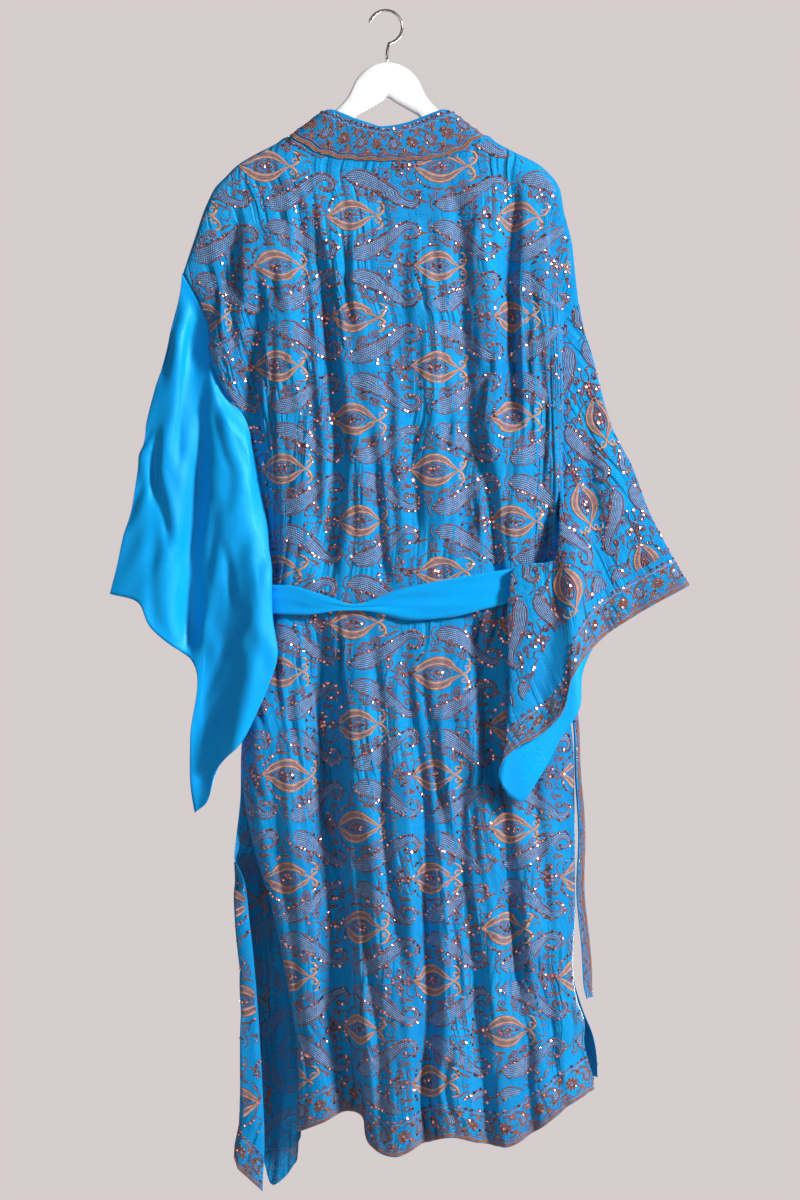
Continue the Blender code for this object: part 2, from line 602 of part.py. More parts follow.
def neck_seam(x):
    """The height of the back neck's seam."""
    line = curve(BACK_NECK, np.linspace(0.0, 1.0, 200))
    return float(np.interp(x, line[:, 0], line[:, 1])) + 5 * SEAM_GAP


def collar_grid():
    """The doubled band: up one front, round the back of the neck and down the other front."""
    def front(side):
        edge = LEFT_FRONT_EDGE if side < 0 else RIGHT_FRONT_EDGE
        z = np.concatenate([np.linspace(-1.405, -0.78, 10), np.linspace(-0.72, -0.20, 11)])
        seam_x = x_at_level(edge, z) - side * 0.0012
        reach = 0.0465
        slope = 0.008 * smooth((z + 0.75) / 0.1)
        seam = np.stack([seam_x, front_band_depth(side, seam_x, z), z], axis=-1)
        free_x = seam_x - side * reach
        free = np.stack([free_x, front_band_depth(side, free_x, z), z + slope], axis=-1)
        return seam, free

    def neck(side):
        seam = np.array([
            [side * 0.1215, 0.0104, -0.1765], [side * 0.1235, 0.0086, -0.1670],
            [side * 0.1245, 0.0045, -0.1622], [side * 0.1240, -0.0050, -0.1620],
            [side * 0.1190, -0.0100, neck_seam(side * 0.1190)],
            [side * 0.1085, -0.0104, neck_seam(side * 0.1085)],
            [side * 0.0950, -0.0106, neck_seam(side * 0.0950)],
            [side * 0.0680, -0.0106, neck_seam(side * 0.0680)],
            [side * 0.0350, -0.0106, neck_seam(side * 0.0350)]])
        free = np.array([
            [side * 0.0760, 0.0110, -0.1440], [side * 0.0800, 0.0084, -0.1345],
            [side * 0.0815, 0.0045, -0.1295], [side * 0.0810, -0.0045, -0.1292],
            [side * 0.0780, -0.0084, -0.1288], [side * 0.0700, -0.0106, -0.1290],
            [side * 0.0600, -0.0110, -0.1325], [side * 0.0400, -0.0112, -0.1405],
            [side * 0.0200, -0.0113, -0.1470]])
        return seam, free

    left_seam, left_free = front(-1)
    right_seam, right_free = front(1)
    left_neck, left_top = neck(-1)
    right_neck, right_top = neck(1)
    middle_seam = np.array([[0.000, -0.0106, neck_seam(0.0)]])
    middle_free = np.array([[-0.006, -0.0113, -0.1505]])
    seam = np.concatenate([left_seam, left_neck, middle_seam, right_neck[::-1], right_seam[::-1]])
    free = np.concatenate([left_free, left_top, middle_free, right_top[::-1], right_free[::-1]])
    share = np.linspace(0.0, 1.0, 5)[:, None, None]
    return (1 - share) * seam[None] + share * free[None]


def waist_reach(surface, x):
    """How far a panel stands off at the waist, over the sash's whole width."""
    reach = np.zeros_like(x)
    for row in surface:
        if -0.805 < row[:, 2].mean() < -0.705:
            reach = np.maximum(reach, np.interp(x, row[:, 0], np.abs(row[:, 1]), 0.0, 0.0))
    return reach


def waist_loop(count):
    """The sash's path round the robe, starting at the wearer's left side."""
    left, right = -0.1600, 0.2205
    clear = 0.0040
    share = 0.5 - 0.5 * np.cos(np.linspace(0.0, np.pi, count))
    x = left + (right - left) * share
    back = -waist_reach(back_grid(2, 60, plain=True), x)
    front = np.maximum(waist_reach(front_grid(-1, 2, 60, plain=True), x),
                       waist_reach(front_grid(1, 2, 60, plain=True), x))
    front = np.maximum(front, 0.0365 * smooth((0.064 - np.abs(x)) / 0.030))
    path = np.concatenate([np.stack([x, back], axis=-1), np.stack([x, front], axis=-1)[-2:0:-1]])
    ahead = np.roll(path, -1, axis=0) - np.roll(path, 1, axis=0)
    out = np.stack([ahead[:, 1], -ahead[:, 0]], axis=-1)
    out = out / np.linalg.norm(out, axis=-1, keepdims=True)
    return path + out * clear


def sash_grid():
    """The sash's middle surface: columns go round the waist, rows down its width."""
    path = waist_loop(31)
    at = [row.x for row in SASH_BACK]
    top = np.interp(path[:, 0], at, [row.top for row in SASH_BACK])
    bottom = np.interp(path[:, 0], at, [row.bottom for row in SASH_BACK])
    in_front = smooth((path[:, 1] + 0.004) / 0.02)
    top = top * (1 - in_front) - 0.728 * in_front
    bottom = bottom * (1 - in_front) - 0.770 * in_front
    share = np.linspace(0.0, 1.0, 5)[:, None]
    z = top[None] * (1 - share) + bottom[None] * share
    return np.stack([np.broadcast_to(path[:, 0], z.shape), np.broadcast_to(path[:, 1], z.shape), z],
                    axis=-1)


def strip_grid(stations):
    """A hanging strip from (centre, half-width vector) stations, bowed across its width."""
    share = np.linspace(-1.0, 1.0, 5)
    rows = []
    for centre, half in stations:
        centre, half = np.array(centre), np.array(half)
        bow = np.array([-half[1], half[0], 0.0]) * 0.22
        rows.append([centre + half * s + bow * (1 - s * s) for s in share])
    return np.array(rows)


def sash_ends():
    """The two hanging ends of the sash: the seen one at the side and the other in front."""
    seen = strip_grid([
        ((0.1822, 0.0375, -0.7690), (0.0035, 0.0010, 0.0130)),
        ((0.2130, 0.0370, -0.8200), (0.0080, 0.0080, 0.0060)),
        ((0.2370, 0.0260, -0.8800), (0.0060, 0.0130, 0.0000)),
        ((0.2475, 0.0170, -0.9350), (0.0035, 0.0160, 0.0000)),
        ((0.2510, 0.0150, -1.0000), (0.0038, 0.0170, 0.0000)),
        ((0.2535, 0.0160, -1.0700), (0.0045, 0.0165, 0.0000)),
        ((0.2535, 0.0150, -1.1400), (0.0052, 0.0170, 0.0000)),
        ((0.2570, 0.0165, -1.2000), (0.0058, 0.0160, 0.0000)),
        ((0.2620, 0.0170, -1.2550), (0.0062, 0.0150, 0.0000)),
        ((0.2650, 0.0180, -1.2840), (0.0045, 0.0110, 0.0000)),
    ])
    other = strip_grid([
        ((0.1655, 0.0375, -0.7736), (0.0110, 0.0000, 0.0000)),
        ((0.1640, 0.0420, -0.7900), (0.0135, 0.0000, 0.0000)),
        ((0.1600, 0.0490, -0.8400), (0.0170, 0.0020, 0.0000)),
        ((0.1580, 0.0510, -0.9200), (0.0180, -0.0020, 0.0000)),
        ((0.1600, 0.0520, -1.0200), (0.0180, 0.0030, 0.0000)),
        ((0.1590, 0.0530, -1.1200), (0.0185, -0.0020, 0.0000)),
        ((0.1610, 0.0540, -1.2200), (0.0190, 0.0020, 0.0000)),
    ])
    return seen, other


def knot_rings():
    """A soft knot of wrapped cloth, flattened against the robe."""
    rings = []
    for step in range(11):
        angle = math.pi * (0.03 + 0.94 * step / 10)
        height, girth = -math.cos(angle), math.sin(angle)
        pinch = 1.0 - 0.16 * math.exp(-((height - 0.05) / 0.22) ** 2)
        ring = []
        for side in range(14):
            turn = 2 * math.pi * side / 14
            ring.append((0.166 + 0.0215 * girth * pinch * math.cos(turn),
                         0.0388 + 0.0105 * girth * pinch * math.sin(turn),
                         -0.749 + 0.0240 * height + 0.003 * math.cos(turn) * girth))
        rings.append(ring)
    return rings


def hanger_rings():
    """Sections of the flat hanger from one end to the other, with rounded edges."""
    stations = [HangerStation(-row.x, row.top, row.bottom) for row in HANGER[:0:-1]] + list(HANGER)
    rings = []
    for index, row in enumerate(stations):
        end = min(index, len(stations) - 1 - index)
        half = HANGER_HALF * (0.72 if end == 0 else 0.93 if end == 1 else 1.0)
        middle, tall = (row.top + row.bottom) / 2, (row.top - row.bottom) / 2
        ring = []
        for side in range(12):
            turn = 2 * math.pi * (side + 0.5) / 12
            wide, high = math.cos(turn), math.sin(turn)
            y = half * math.copysign(abs(wide) ** 0.45, wide)
            z = middle + tall * math.copysign(abs(high) ** 0.30, high)
            ring.append((row.x, y, z))
        rings.append(ring)
    return rings


def hook_rings():
    """The round wire hook, from its tip over the rail and down to the cap on the hanger."""
    centre_x, centre_z = -0.0020, -0.0217
    path = []
    for step in range(25):
        angle = math.radians(165 - 243 * step / 24)
        path.append((centre_x + HOOK_RADIUS * math.cos(angle), 0.0,
                     centre_z + HOOK_RADIUS * math.sin(angle)))
    path.extend([(0.0016, 0.0, -0.0470), (0.0002, 0.0, -0.0520), (0.0, 0.0, -0.0580),
                 (0.0, 0.0, -0.06765)])
    path = np.array(path) + np.array([0.0, 0.0, HOOK_WIRE])
    rings = []
    for index, point in enumerate(path):
        ahead = path[min(index + 1, len(path) - 1)] - path[max(index - 1, 0)]
        ahead = ahead / np.linalg.norm(ahead)
        out = np.array([-ahead[2], 0.0, ahead[0]])
        wire = HOOK_WIRE * (0.62 if index == 0 else 1.0)
        ring = []
        for side in range(10):
            turn = 2 * math.pi * side / 10
            ring.append(point + wire * (math.cos(turn) * out + math.sin(turn) * np.array([0.0, 1.0, 0.0])))
        rings.append(ring)
    return rings


def build():
    """Make every piece of the robe and its hanger."""
    for item in list(bpy.data.objects):
        bpy.data.objects.remove(item, do_unlink=True)
    embroidered = (0.016, 0.28, 0.66)
    plain = (0.012, 0.31, 0.78)
    back = back_grid(40, 34)
    sheet_solid("back_panel", hold_back(back, first_row=SEAM_GAP), SILK_WALL, embroidered, 0.42,
                square="sides")
    front_left = front_grid(-1, 13, 27)
    sheet_solid("front_left_panel", hold_back(front_left, first_row=SEAM_GAP), SILK_WALL,
                embroidered, 0.42, square="sides")
    front_right = front_grid(1, 14, 27)
    sheet_solid("front_right_panel", hold_back(front_right, first_row=SEAM_GAP), SILK_WALL,
                embroidered, 0.42, square="sides")
    loop = left_sleeve_loop(12, 19)
    sheet_solid("left_sleeve", loop, SILK_WALL, plain, 0.30, closed=True, square="start")
    around = np.linspace(0.0, 1.0, 17)
    along = np.linspace(0.0, 1.0, 17) ** 1.2
    half = sleeve_layer(1, -1, RIGHT_CUFF_BACK, around, along)
    sheet_solid("right_sleeve_back", half, SILK_WALL, embroidered, 0.42, square="sides start")
    half = sleeve_layer(1, 1, RIGHT_CUFF_FRONT, around, along)
    sheet_solid("right_sleeve_front", half, SILK_WALL, plain, 0.30, square="sides start")
    sheet_solid("collar_band", collar_grid(), BAND_WALL, (0.10, 0.16, 0.36), 0.50)
    sheet_solid("sash", sash_grid(), SASH_WALL, plain, 0.34, closed=True)
    seen, other = sash_ends()
    sheet_solid("sash_end_right", seen, SASH_WALL, (0.10, 0.16, 0.36), 0.45)
    sheet_solid("sash_end_left", other, SASH_WALL, plain, 0.34)
    ring_solid("sash_knot", knot_rings(), plain, 0.34, 0.0)
    ring_solid("hanger", hanger_rings(), (0.90, 0.92, 0.94), 0.30, 0.0)
    ring_solid("hanger_hook", hook_rings(), (0.75, 0.76, 0.78), 0.14, 1.0)


build()
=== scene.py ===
"""The looks of a long embroidered silk robe that hangs by its shoulders on a flat hanger.

The packed solids are loaded as the frame and each is dressed: thin cloth with its folds,
stitched onion and paisley sprays, borders, sequins, hems, and the hanger with its hook.
"""
import json
import math
from collections import namedtuple

import bpy
import numpy as np
from mathutils.bvhtree import BVHTree
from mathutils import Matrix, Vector

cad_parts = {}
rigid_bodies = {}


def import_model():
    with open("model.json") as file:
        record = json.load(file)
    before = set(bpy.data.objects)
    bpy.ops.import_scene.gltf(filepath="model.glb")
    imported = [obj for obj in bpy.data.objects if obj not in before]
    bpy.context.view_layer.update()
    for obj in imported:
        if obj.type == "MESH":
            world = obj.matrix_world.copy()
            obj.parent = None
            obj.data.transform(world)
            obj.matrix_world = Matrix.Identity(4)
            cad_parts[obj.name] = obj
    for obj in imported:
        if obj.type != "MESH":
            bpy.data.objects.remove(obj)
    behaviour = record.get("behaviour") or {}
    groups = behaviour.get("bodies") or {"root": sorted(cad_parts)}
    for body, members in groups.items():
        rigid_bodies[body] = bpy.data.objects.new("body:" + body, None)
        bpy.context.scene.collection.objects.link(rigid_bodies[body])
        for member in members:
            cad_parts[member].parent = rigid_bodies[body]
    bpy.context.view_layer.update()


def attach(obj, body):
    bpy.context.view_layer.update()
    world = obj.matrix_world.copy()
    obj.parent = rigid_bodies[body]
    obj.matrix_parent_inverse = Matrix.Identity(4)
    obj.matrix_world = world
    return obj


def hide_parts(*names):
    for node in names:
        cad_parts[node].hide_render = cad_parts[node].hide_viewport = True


bl_info = {
    "name": "Embroidered Silk Robe",
    "version": (1, 0, 0),
    "blender": (4, 5, 0),
    "location": "View3D > Sidebar > Robe",
    "description": "Dresses the solids of a hanging silk robe with cloth, embroidery and sequins",
    "category": "Object",
}

for item in list(bpy.data.objects):
    bpy.data.objects.remove(item, do_unlink=True)
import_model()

SEAM_GAP = 0.0003
HANGER_HALF = 0.006
HOOK_WIRE = 0.00175
HOOK_RADIUS = 0.0217

Place = namedtuple("Place", "x z")
Level = namedtuple("Level", "z depth")
Fold = namedtuple("Fold", "x_top x_middle x_low z_top z_low depth width")


def table(kind, *rows):
    """Rows of numbers under the kind's column names."""
    return [kind(*row) for row in rows]


# The shoulder line falls from the collar's seam to the top of each armhole.
LEFT_SHOULDER = table(
    Place,
    (-0.265, -0.342), (-0.25, -0.297), (-0.233, -0.249), (-0.222, -0.228), (-0.211, -0.217),
    (-0.1955, -0.2014), (-0.1735, -0.1875), (-0.1456, -0.1734), (-0.1275, -0.1637))
RIGHT_SHOULDER = table(
    Place,
    (0.1275, -0.1612), (0.1417, -0.1706), (0.166, -0.1836), (0.1998, -0.2014), (0.2119, -0.2124),
    (0.2217, -0.2254), (0.2297, -0.2612), (0.2405, -0.3047), (0.2431, -0.3307), (0.249, -0.384))
BACK_NECK = table(
    Place,
    (-0.123, -0.1665), (-0.11, -0.1705), (-0.096, -0.1815), (-0.044, -0.193), (0.012, -0.1945),
    (0.069, -0.191), (0.096, -0.1815), (0.11, -0.1705), (0.123, -0.165))
LEFT_ARMHOLE = table(
    Place,
    (-0.265, -0.342), (-0.247, -0.375), (-0.233, -0.407), (-0.229, -0.453), (-0.207, -0.501),
    (-0.191, -0.523), (-0.177, -0.576), (-0.168, -0.606))
RIGHT_ARMHOLE = table(
    Place,
    (0.249, -0.384), (0.233, -0.399), (0.228, -0.433), (0.229, -0.505), (0.2275, -0.57), (0.228, -0.648),
    (0.222, -0.704))
# The right sleeve hangs over the robe's back: its seam edge runs on past the armpit.
RIGHT_SLEEVE_SEAM = table(
    Place,
    (0.248, -0.385), (0.232, -0.4), (0.2265, -0.433), (0.2275, -0.505), (0.226, -0.57),
    (0.2235, -0.64), (0.2215, -0.672), (0.2195, -0.7), (0.216, -0.713), (0.205, -0.717),
    (0.19, -0.7175), (0.172, -0.7195), (0.16, -0.727))
LEFT_SLEEVE_SEAM = table(
    Place,
    (-0.2642, -0.344), (-0.2455, -0.3765), (-0.2312, -0.408), (-0.2268, -0.4535), (-0.2045, -0.5015),
    (-0.1885, -0.5235), (-0.1742, -0.5765), (-0.164, -0.608))
LEFT_SIDE = table(
    Place,
    (-0.161, -0.661), (-0.157, -0.713), (-0.155, -0.765), (-0.163, -0.83), (-0.175, -0.895),
    (-0.187, -0.94))
RIGHT_SIDE = table(
    Place,
    (0.216, -0.735), (0.2145, -0.765), (0.22, -0.83), (0.233, -0.895), (0.241, -0.947))
BACK_LEFT_SLIT = table(
    Place,
    (-0.185, -1.025), (-0.172, -1.09), (-0.152, -1.155), (-0.135, -1.233), (-0.126, -1.285),
    (-0.117, -1.35), (-0.117, -1.455))
BACK_RIGHT_SLIT = table(
    Place,
    (0.243, -1.0), (0.244, -1.155), (0.247, -1.285), (0.256, -1.311), (0.256, -1.34), (0.261, -1.363),
    (0.268, -1.388), (0.269, -1.399))
BACK_HEM = table(
    Place,
    (-0.117, -1.455), (-0.084, -1.441), (-0.05, -1.428), (-0.034, -1.432), (-0.024, -1.466),
    (-0.009, -1.476), (0.009, -1.48), (0.048, -1.464), (0.082, -1.455), (0.117, -1.462), (0.152, -1.468),
    (0.192, -1.448), (0.243, -1.412), (0.269, -1.399))
FRONT_LEFT_SLIT = table(
    Place,
    (-0.191, -1.025), (-0.196, -1.077), (-0.2, -1.135), (-0.195, -1.233), (-0.193, -1.285),
    (-0.191, -1.363), (-0.192, -1.415), (-0.199, -1.46))
FRONT_LEFT_HEM = table(
    Place,
    (-0.199, -1.46), (-0.178, -1.48), (-0.163, -1.499), (-0.149, -1.531), (-0.133, -1.519),
    (-0.122, -1.503), (-0.112, -1.452), (-0.09, -1.42), (-0.05, -1.408), (-0.02, -1.408))
FRONT_RIGHT_SLIT = table(
    Place,
    (0.237, -1.0), (0.237, -1.155), (0.243, -1.26), (0.256, -1.302), (0.268, -1.332), (0.272, -1.352),
    (0.274, -1.386))
FRONT_RIGHT_HEM = table(
    Place,
    (0.02, -1.41), (0.08, -1.405), (0.16, -1.398), (0.225, -1.388), (0.274, -1.386))
LEFT_FRONT_EDGE = table(
    Place,
    (-0.1275, -0.1637), (-0.122, -0.2), (-0.1, -0.3), (-0.061, -0.5), (-0.028, -0.68),
    (-0.02, -0.78), (-0.02, -1.408))
RIGHT_FRONT_EDGE = table(
    Place,
    (0.1275, -0.1612), (0.122, -0.2), (0.1, -0.3), (0.061, -0.5), (0.028, -0.68), (0.02, -0.78),
    (0.02, -1.41))

LEFT_SLEEVE_TOP = table(
    Place,
    (-0.2662, -0.343), (-0.269, -0.368), (-0.279, -0.401), (-0.295, -0.466), (-0.311, -0.531),
    (-0.334, -0.648), (-0.36, -0.757))
LEFT_SLEEVE_CUFF = table(
    Place,
    (-0.36, -0.757), (-0.321, -0.77), (-0.309, -0.797), (-0.285, -0.82), (-0.2545, -0.841),
    (-0.255, -0.947), (-0.2545, -1.01), (-0.25, -1.041))
LEFT_SLEEVE_UNDER = table(
    Place,
    (-0.172, -0.609), (-0.168, -0.64), (-0.161, -0.69), (-0.149, -0.778), (-0.142, -0.836),
    (-0.155, -0.882), (-0.168, -0.911), (-0.185, -0.944), (-0.221, -0.986), (-0.236, -1.03),
    (-0.25, -1.041))
RIGHT_SLEEVE_TOP = table(
    Place,
    (0.2505, -0.384), (0.256, -0.414), (0.265, -0.441), (0.277, -0.488), (0.292, -0.539), (0.319, -0.593),
    (0.341, -0.651), (0.367, -0.701), (0.393, -0.746))
RIGHT_SLEEVE_UNDER = table(
    Place,
    (0.16, -0.727), (0.156, -0.765), (0.156, -0.83), (0.156, -0.895), (0.15, -0.953), (0.143, -0.992))
RIGHT_CUFF_BACK = table(
    Place,
    (0.393, -0.746), (0.329, -0.781), (0.277, -0.816), (0.248, -0.847), (0.237, -0.866), (0.226, -0.907),
    (0.2, -0.936), (0.169, -0.953), (0.147, -0.974), (0.143, -0.992))
RIGHT_CUFF_FRONT = table(
    Place,
    (0.393, -0.746), (0.329, -0.778), (0.277, -0.814), (0.253, -0.857), (0.248, -0.905), (0.224, -0.943),
    (0.192, -0.999), (0.172, -1.025), (0.152, -1.011), (0.143, -0.992))

# How far the cloth stands off the robe's middle plane, level by level.
BACK_FULLNESS = table(
    Level,
    (-0.15, 0.011), (-0.25, 0.022), (-0.40, 0.036), (-0.60, 0.036), (-0.715, 0.0305), (-0.80, 0.0305),
    (-0.92, 0.043), (-1.20, 0.054), (-1.50, 0.062))
FRONT_FULLNESS = table(
    Level,
    (-0.15, 0.011), (-0.25, 0.018), (-0.40, 0.026), (-0.60, 0.028), (-0.715, 0.026), (-0.80, 0.026),
    (-1.00, 0.034), (-1.50, 0.042))
SIDE_STANDOFF = table(
    Level,
    (-0.34, 0.0005), (-0.40, 0.006), (-0.45, 0.01), (-0.55, 0.01), (-0.61, 0.005), (-0.66, 0.0005),
    (-0.93, 0.0005), (-1.02, 0.005), (-1.50, 0.007))

BACK_FOLDS = table(
    Fold,
    (-0.163, -0.174, -0.146, -0.32, -0.76, 0.026, 0.013),
    (-0.2, -0.198, -0.194, -0.26, -0.46, 0.014, 0.009),
    (-0.117, -0.099, -0.084, -0.21, -0.75, 0.015, 0.009),
    (-0.106, -0.07, -0.076, -0.25, -0.76, 0.022, 0.011),
    (-0.028, -0.013, 0.004, -0.52, -0.76, 0.012, 0.008),
    (0.021, 0.025, 0.05, -0.24, -0.73, 0.008, 0.011),
    (0.088, 0.103, 0.105, -0.21, -0.74, 0.02, 0.012),
    (0.156, 0.161, 0.16, -0.19, -0.56, 0.03, 0.01),
    (0.116, 0.133, 0.148, -0.54, -0.77, 0.022, 0.01),
    (0.204, 0.205, 0.205, -0.42, -0.72, 0.01, 0.009),
    (-0.088, -0.068, -0.03, -0.76, -1.60, 0.085, 0.02),
    (0.012, 0.054, 0.036, -0.77, -1.60, 0.022, 0.011),
    (0.082, 0.107, 0.152, -0.82, -1.60, 0.014, 0.012),
    (0.106, 0.124, 0.146, -0.77, -1.03, 0.026, 0.012),
    (0.158, 0.176, 0.203, -1.04, -1.60, 0.012, 0.012),
    (-0.15, -0.14, -0.128, -0.80, -1.20, 0.008, 0.012))
BACK_CREASES = table(
    Fold,
    (-0.215, -0.205, -0.188, -0.30, -0.50, 0.006, 0.005),
    (-0.14, -0.15, -0.152, -0.30, -0.62, 0.006, 0.005),
    (-0.06, -0.048, -0.04, -0.26, -0.55, 0.006, 0.006),
    (-0.005, 0.006, 0.01, -0.40, -0.74, 0.006, 0.006),
    (0.055, 0.07, 0.082, -0.24, -0.60, 0.007, 0.006),
    (0.128, 0.14, 0.118, -0.24, -0.52, 0.006, 0.006),
    (0.18, 0.186, 0.184, -0.30, -0.70, 0.007, 0.006),
    (-0.125, -0.118, -0.11, -0.79, -1.10, 0.008, 0.006),
    (-0.084, -0.07, -0.04, -0.79, -1.46, 0.014, 0.009),
    (-0.02, -0.004, 0.01, -0.79, -1.25, 0.009, 0.007),
    (0.03, 0.078, 0.096, -0.80, -1.35, 0.011, 0.007),
    (0.135, 0.15, 0.17, -0.78, -1.30, 0.011, 0.008),
    (0.185, 0.2, 0.222, -0.84, -1.45, 0.012, 0.009),
    (-0.045, -0.02, 0.0, -1.00, -1.50, 0.012, 0.009),
    (0.02, 0.034, 0.075, -1.10, -1.50, 0.007, 0.009),
    (0.11, 0.12, 0.135, -1.15, -1.50, 0.006, 0.008))
BACK_RIDGES = table(
    Fold,
    (-0.045, -0.04, -0.02, -0.25, -0.72, 0.004, 0.012),
    (0.055, 0.065, 0.078, -0.28, -0.72, 0.004, 0.011),
    (0.13, 0.135, 0.126, -0.26, -0.66, 0.004, 0.012),
    (0.03, 0.032, 0.02, -0.82, -1.50, 0.005, 0.014),
    (0.075, 0.085, 0.095, -0.84, -1.50, 0.004, 0.012))
FRONT_LEFT_FOLDS = table(
    Fold,
    (-0.19, -0.175, -0.115, -0.27, -0.72, 0.014, 0.012),
    (-0.12, -0.085, -0.06, -0.26, -0.75, 0.013, 0.012),
    (-0.11, -0.12, -0.13, -0.80, -1.60, 0.016, 0.016),
    (-0.06, -0.066, -0.074, -0.81, -1.60, 0.012, 0.014))
FRONT_RIGHT_FOLDS = table(
    Fold,
    (0.186, 0.17, 0.12, -0.27, -0.72, 0.015, 0.013),
    (0.13, 0.092, 0.066, -0.25, -0.75, 0.012, 0.012),
    (0.08, 0.096, 0.104, -0.81, -1.60, 0.015, 0.016),
    (0.15, 0.165, 0.182, -0.84, -1.60, 0.014, 0.015))
LEFT_SLEEVE_FOLDS = table(
    Fold,
    (-0.238, -0.2465, -0.26, -0.27, -0.87, 0.026, 0.012),
    (-0.304, -0.303, -0.3, -0.56, -0.82, 0.007, 0.01))
LEFT_SLEEVE_RIDGES = table(
    Fold,
    (-0.208, -0.19, -0.205, -0.36, -1.00, 0.013, 0.03),
    (-0.262, -0.29, -0.315, -0.34, -0.86, 0.008, 0.026))
RIGHT_SLEEVE_FOLDS = table(
    Fold,
    (0.262, 0.262, 0.262, -0.43, -0.84, 0.008, 0.012),
    (0.214, 0.206, 0.192, -0.72, -0.97, 0.012, 0.011),
    (0.31, 0.318, 0.33, -0.58, -0.84, 0.005, 0.012))
RIGHT_SLEEVE_RIDGES = table(
    Fold,
    (0.24, 0.236, 0.232, -0.66, -0.98, 0.006, 0.014),
    (0.29, 0.296, 0.3, -0.48, -0.84, 0.006, 0.022))

HangerStation = namedtuple("HangerStation", "x top bottom")
HANGER = table(
    HangerStation,
    (0.0, -0.0662, -0.1123),
    (0.01, -0.0675, -0.118),
    (0.0195, -0.0707, -0.1235),
    (0.03, -0.0775, -0.1295),
    (0.0398, -0.0883, -0.1353),
    (0.046, -0.101, -0.143),
    (0.0514, -0.1114, -0.151),
    (0.065, -0.1266, -0.168),
    (0.081, -0.139, -0.18),
    (0.096, -0.148, -0.189),
    (0.124, -0.168, -0.203),
    (0.1456, -0.1765, -0.212),
    (0.1735, -0.1908, -0.223),
    (0.194, -0.205, -0.234),
    (0.205, -0.2168, -0.24),
    (0.2095, -0.2232, -0.2385))

SashRow = namedtuple("SashRow", "x top bottom")
SASH_BACK = table(
    SashRow,
    (-0.17, -0.745, -0.783),
    (-0.121, -0.746, -0.784),
    (-0.094, -0.755, -0.784),
    (-0.064, -0.764, -0.78),
    (-0.04, -0.77, -0.78),
    (-0.019, -0.763, -0.782),
    (0.008, -0.753, -0.788),
    (0.036, -0.746, -0.792),
    (0.093, -0.735, -0.786),
    (0.156, -0.725, -0.769),
    (0.23, -0.722, -0.765))


def smooth(value):
    """Ease from 0 to 1 as the value passes from 0 to 1."""
    share = np.clip(value, 0.0, 1.0)
    return share * share * (3.0 - 2.0 * share)


def curve(rows, share):
    """Points on a rounded curve through the rows, at shares of its length."""
    points = np.array(rows, dtype=float)
    lengths = np.linalg.norm(np.diff(points, axis=0), axis=1)
    at = np.concatenate([[0.0], np.cumsum(lengths)])
    slope = np.gradient(points, at, axis=0)
    want = np.clip(np.asarray(share, dtype=float), 0.0, 1.0) * at[-1]
    place = np.clip(np.searchsorted(at, want, side="right") - 1, 0, len(lengths) - 1)
    span = lengths[place][..., None]
    t = ((want - at[place]) / lengths[place])[..., None]
    start, end = points[place], points[place + 1]
    rise, fall = slope[place] * span, slope[place + 1] * span
    return ((2 * t**3 - 3 * t**2 + 1) * start + (t**3 - 2 * t**2 + t) * rise
            + (3 * t**2 - 2 * t**3) * end + (t**3 - t**2) * fall)


def x_at_level(rows, z):
    """The x of a falling edge at each height."""
    line = curve(rows, np.linspace(0.0, 1.0, 400))
    order = np.argsort(line[:, 1])
    return np.interp(z, line[order, 1], line[order, 0])


def level_value(levels, z):
    """A depth read from a table of levels, with rounded steps."""
    low = np.array([row.z for row in levels])[::-1]
    depth = np.array([row.depth for row in levels])[::-1]
    near = [np.interp(z + shift, low, depth) for shift in (-0.02, -0.01, 0.0, 0.01, 0.02)]
    return sum(near) / len(near)


def fold_field(folds, x, z):
    """The summed depth of the folds at each place."""
    total = np.zeros_like(x)
    for fold in folds:
        share = np.clip((fold.z_top - z) / (fold.z_top - fold.z_low), 0.0, 1.0)
        centre = ((1 - share) * (1 - 2 * share) * fold.x_top
                  + 4 * share * (1 - share) * fold.x_middle
                  + share * (2 * share - 1) * fold.x_low)
        length = fold.z_top - fold.z_low
        ends = smooth((fold.z_top - z) / (0.22 * length)) * smooth((z - fold.z_low) / (0.16 * length))
        centre = centre + 0.0022 * np.sin(24.0 * z + 90.0 * fold.x_top)
        total += fold.depth * ends * np.exp(-((x - centre) / fold.width) ** 2)
    return total


def patch(top, bottom, left, right, across, down, reach=1.0):
    """Fill four (x, z) edges; a larger reach keeps a side's bends closer to that side."""
    u, v = np.meshgrid(across, down)
    u, v = u[..., None], v[..., None]
    rows = (1 - v) * top(across)[None] + v * bottom(across)[None]
    down = np.asarray(down)[:, None]
    first = (1 - down) * top(np.zeros(1)) + down * bottom(np.zeros(1))
    last = (1 - down) * top(np.ones(1)) + down * bottom(np.ones(1))
    bend_left = left(down[:, 0]) - first
    bend_right = right(down[:, 0]) - last
    return rows + (1 - u) ** reach * bend_left[:, None] + u ** reach * bend_right[:, None]


def falling_edge(rows):
    """An edge sampled by equal steps of height."""
    def sample(down):
        z = rows[0].z + (rows[-1].z - rows[0].z) * np.asarray(down)
        return np.stack([x_at_level(rows, z), z], axis=-1)
    return sample


def length_edge(rows):
    """An edge sampled by equal steps of its length."""
    def sample(share):
        return curve(rows, np.asarray(share))
    return sample


def dimple(depth, valley, least):
    """Press a valley into a stand-off without passing the least one."""
    room = np.maximum(depth - least, 1e-6)
    return depth - room * (1.0 - np.exp(-np.maximum(valley, 0.0) / room))


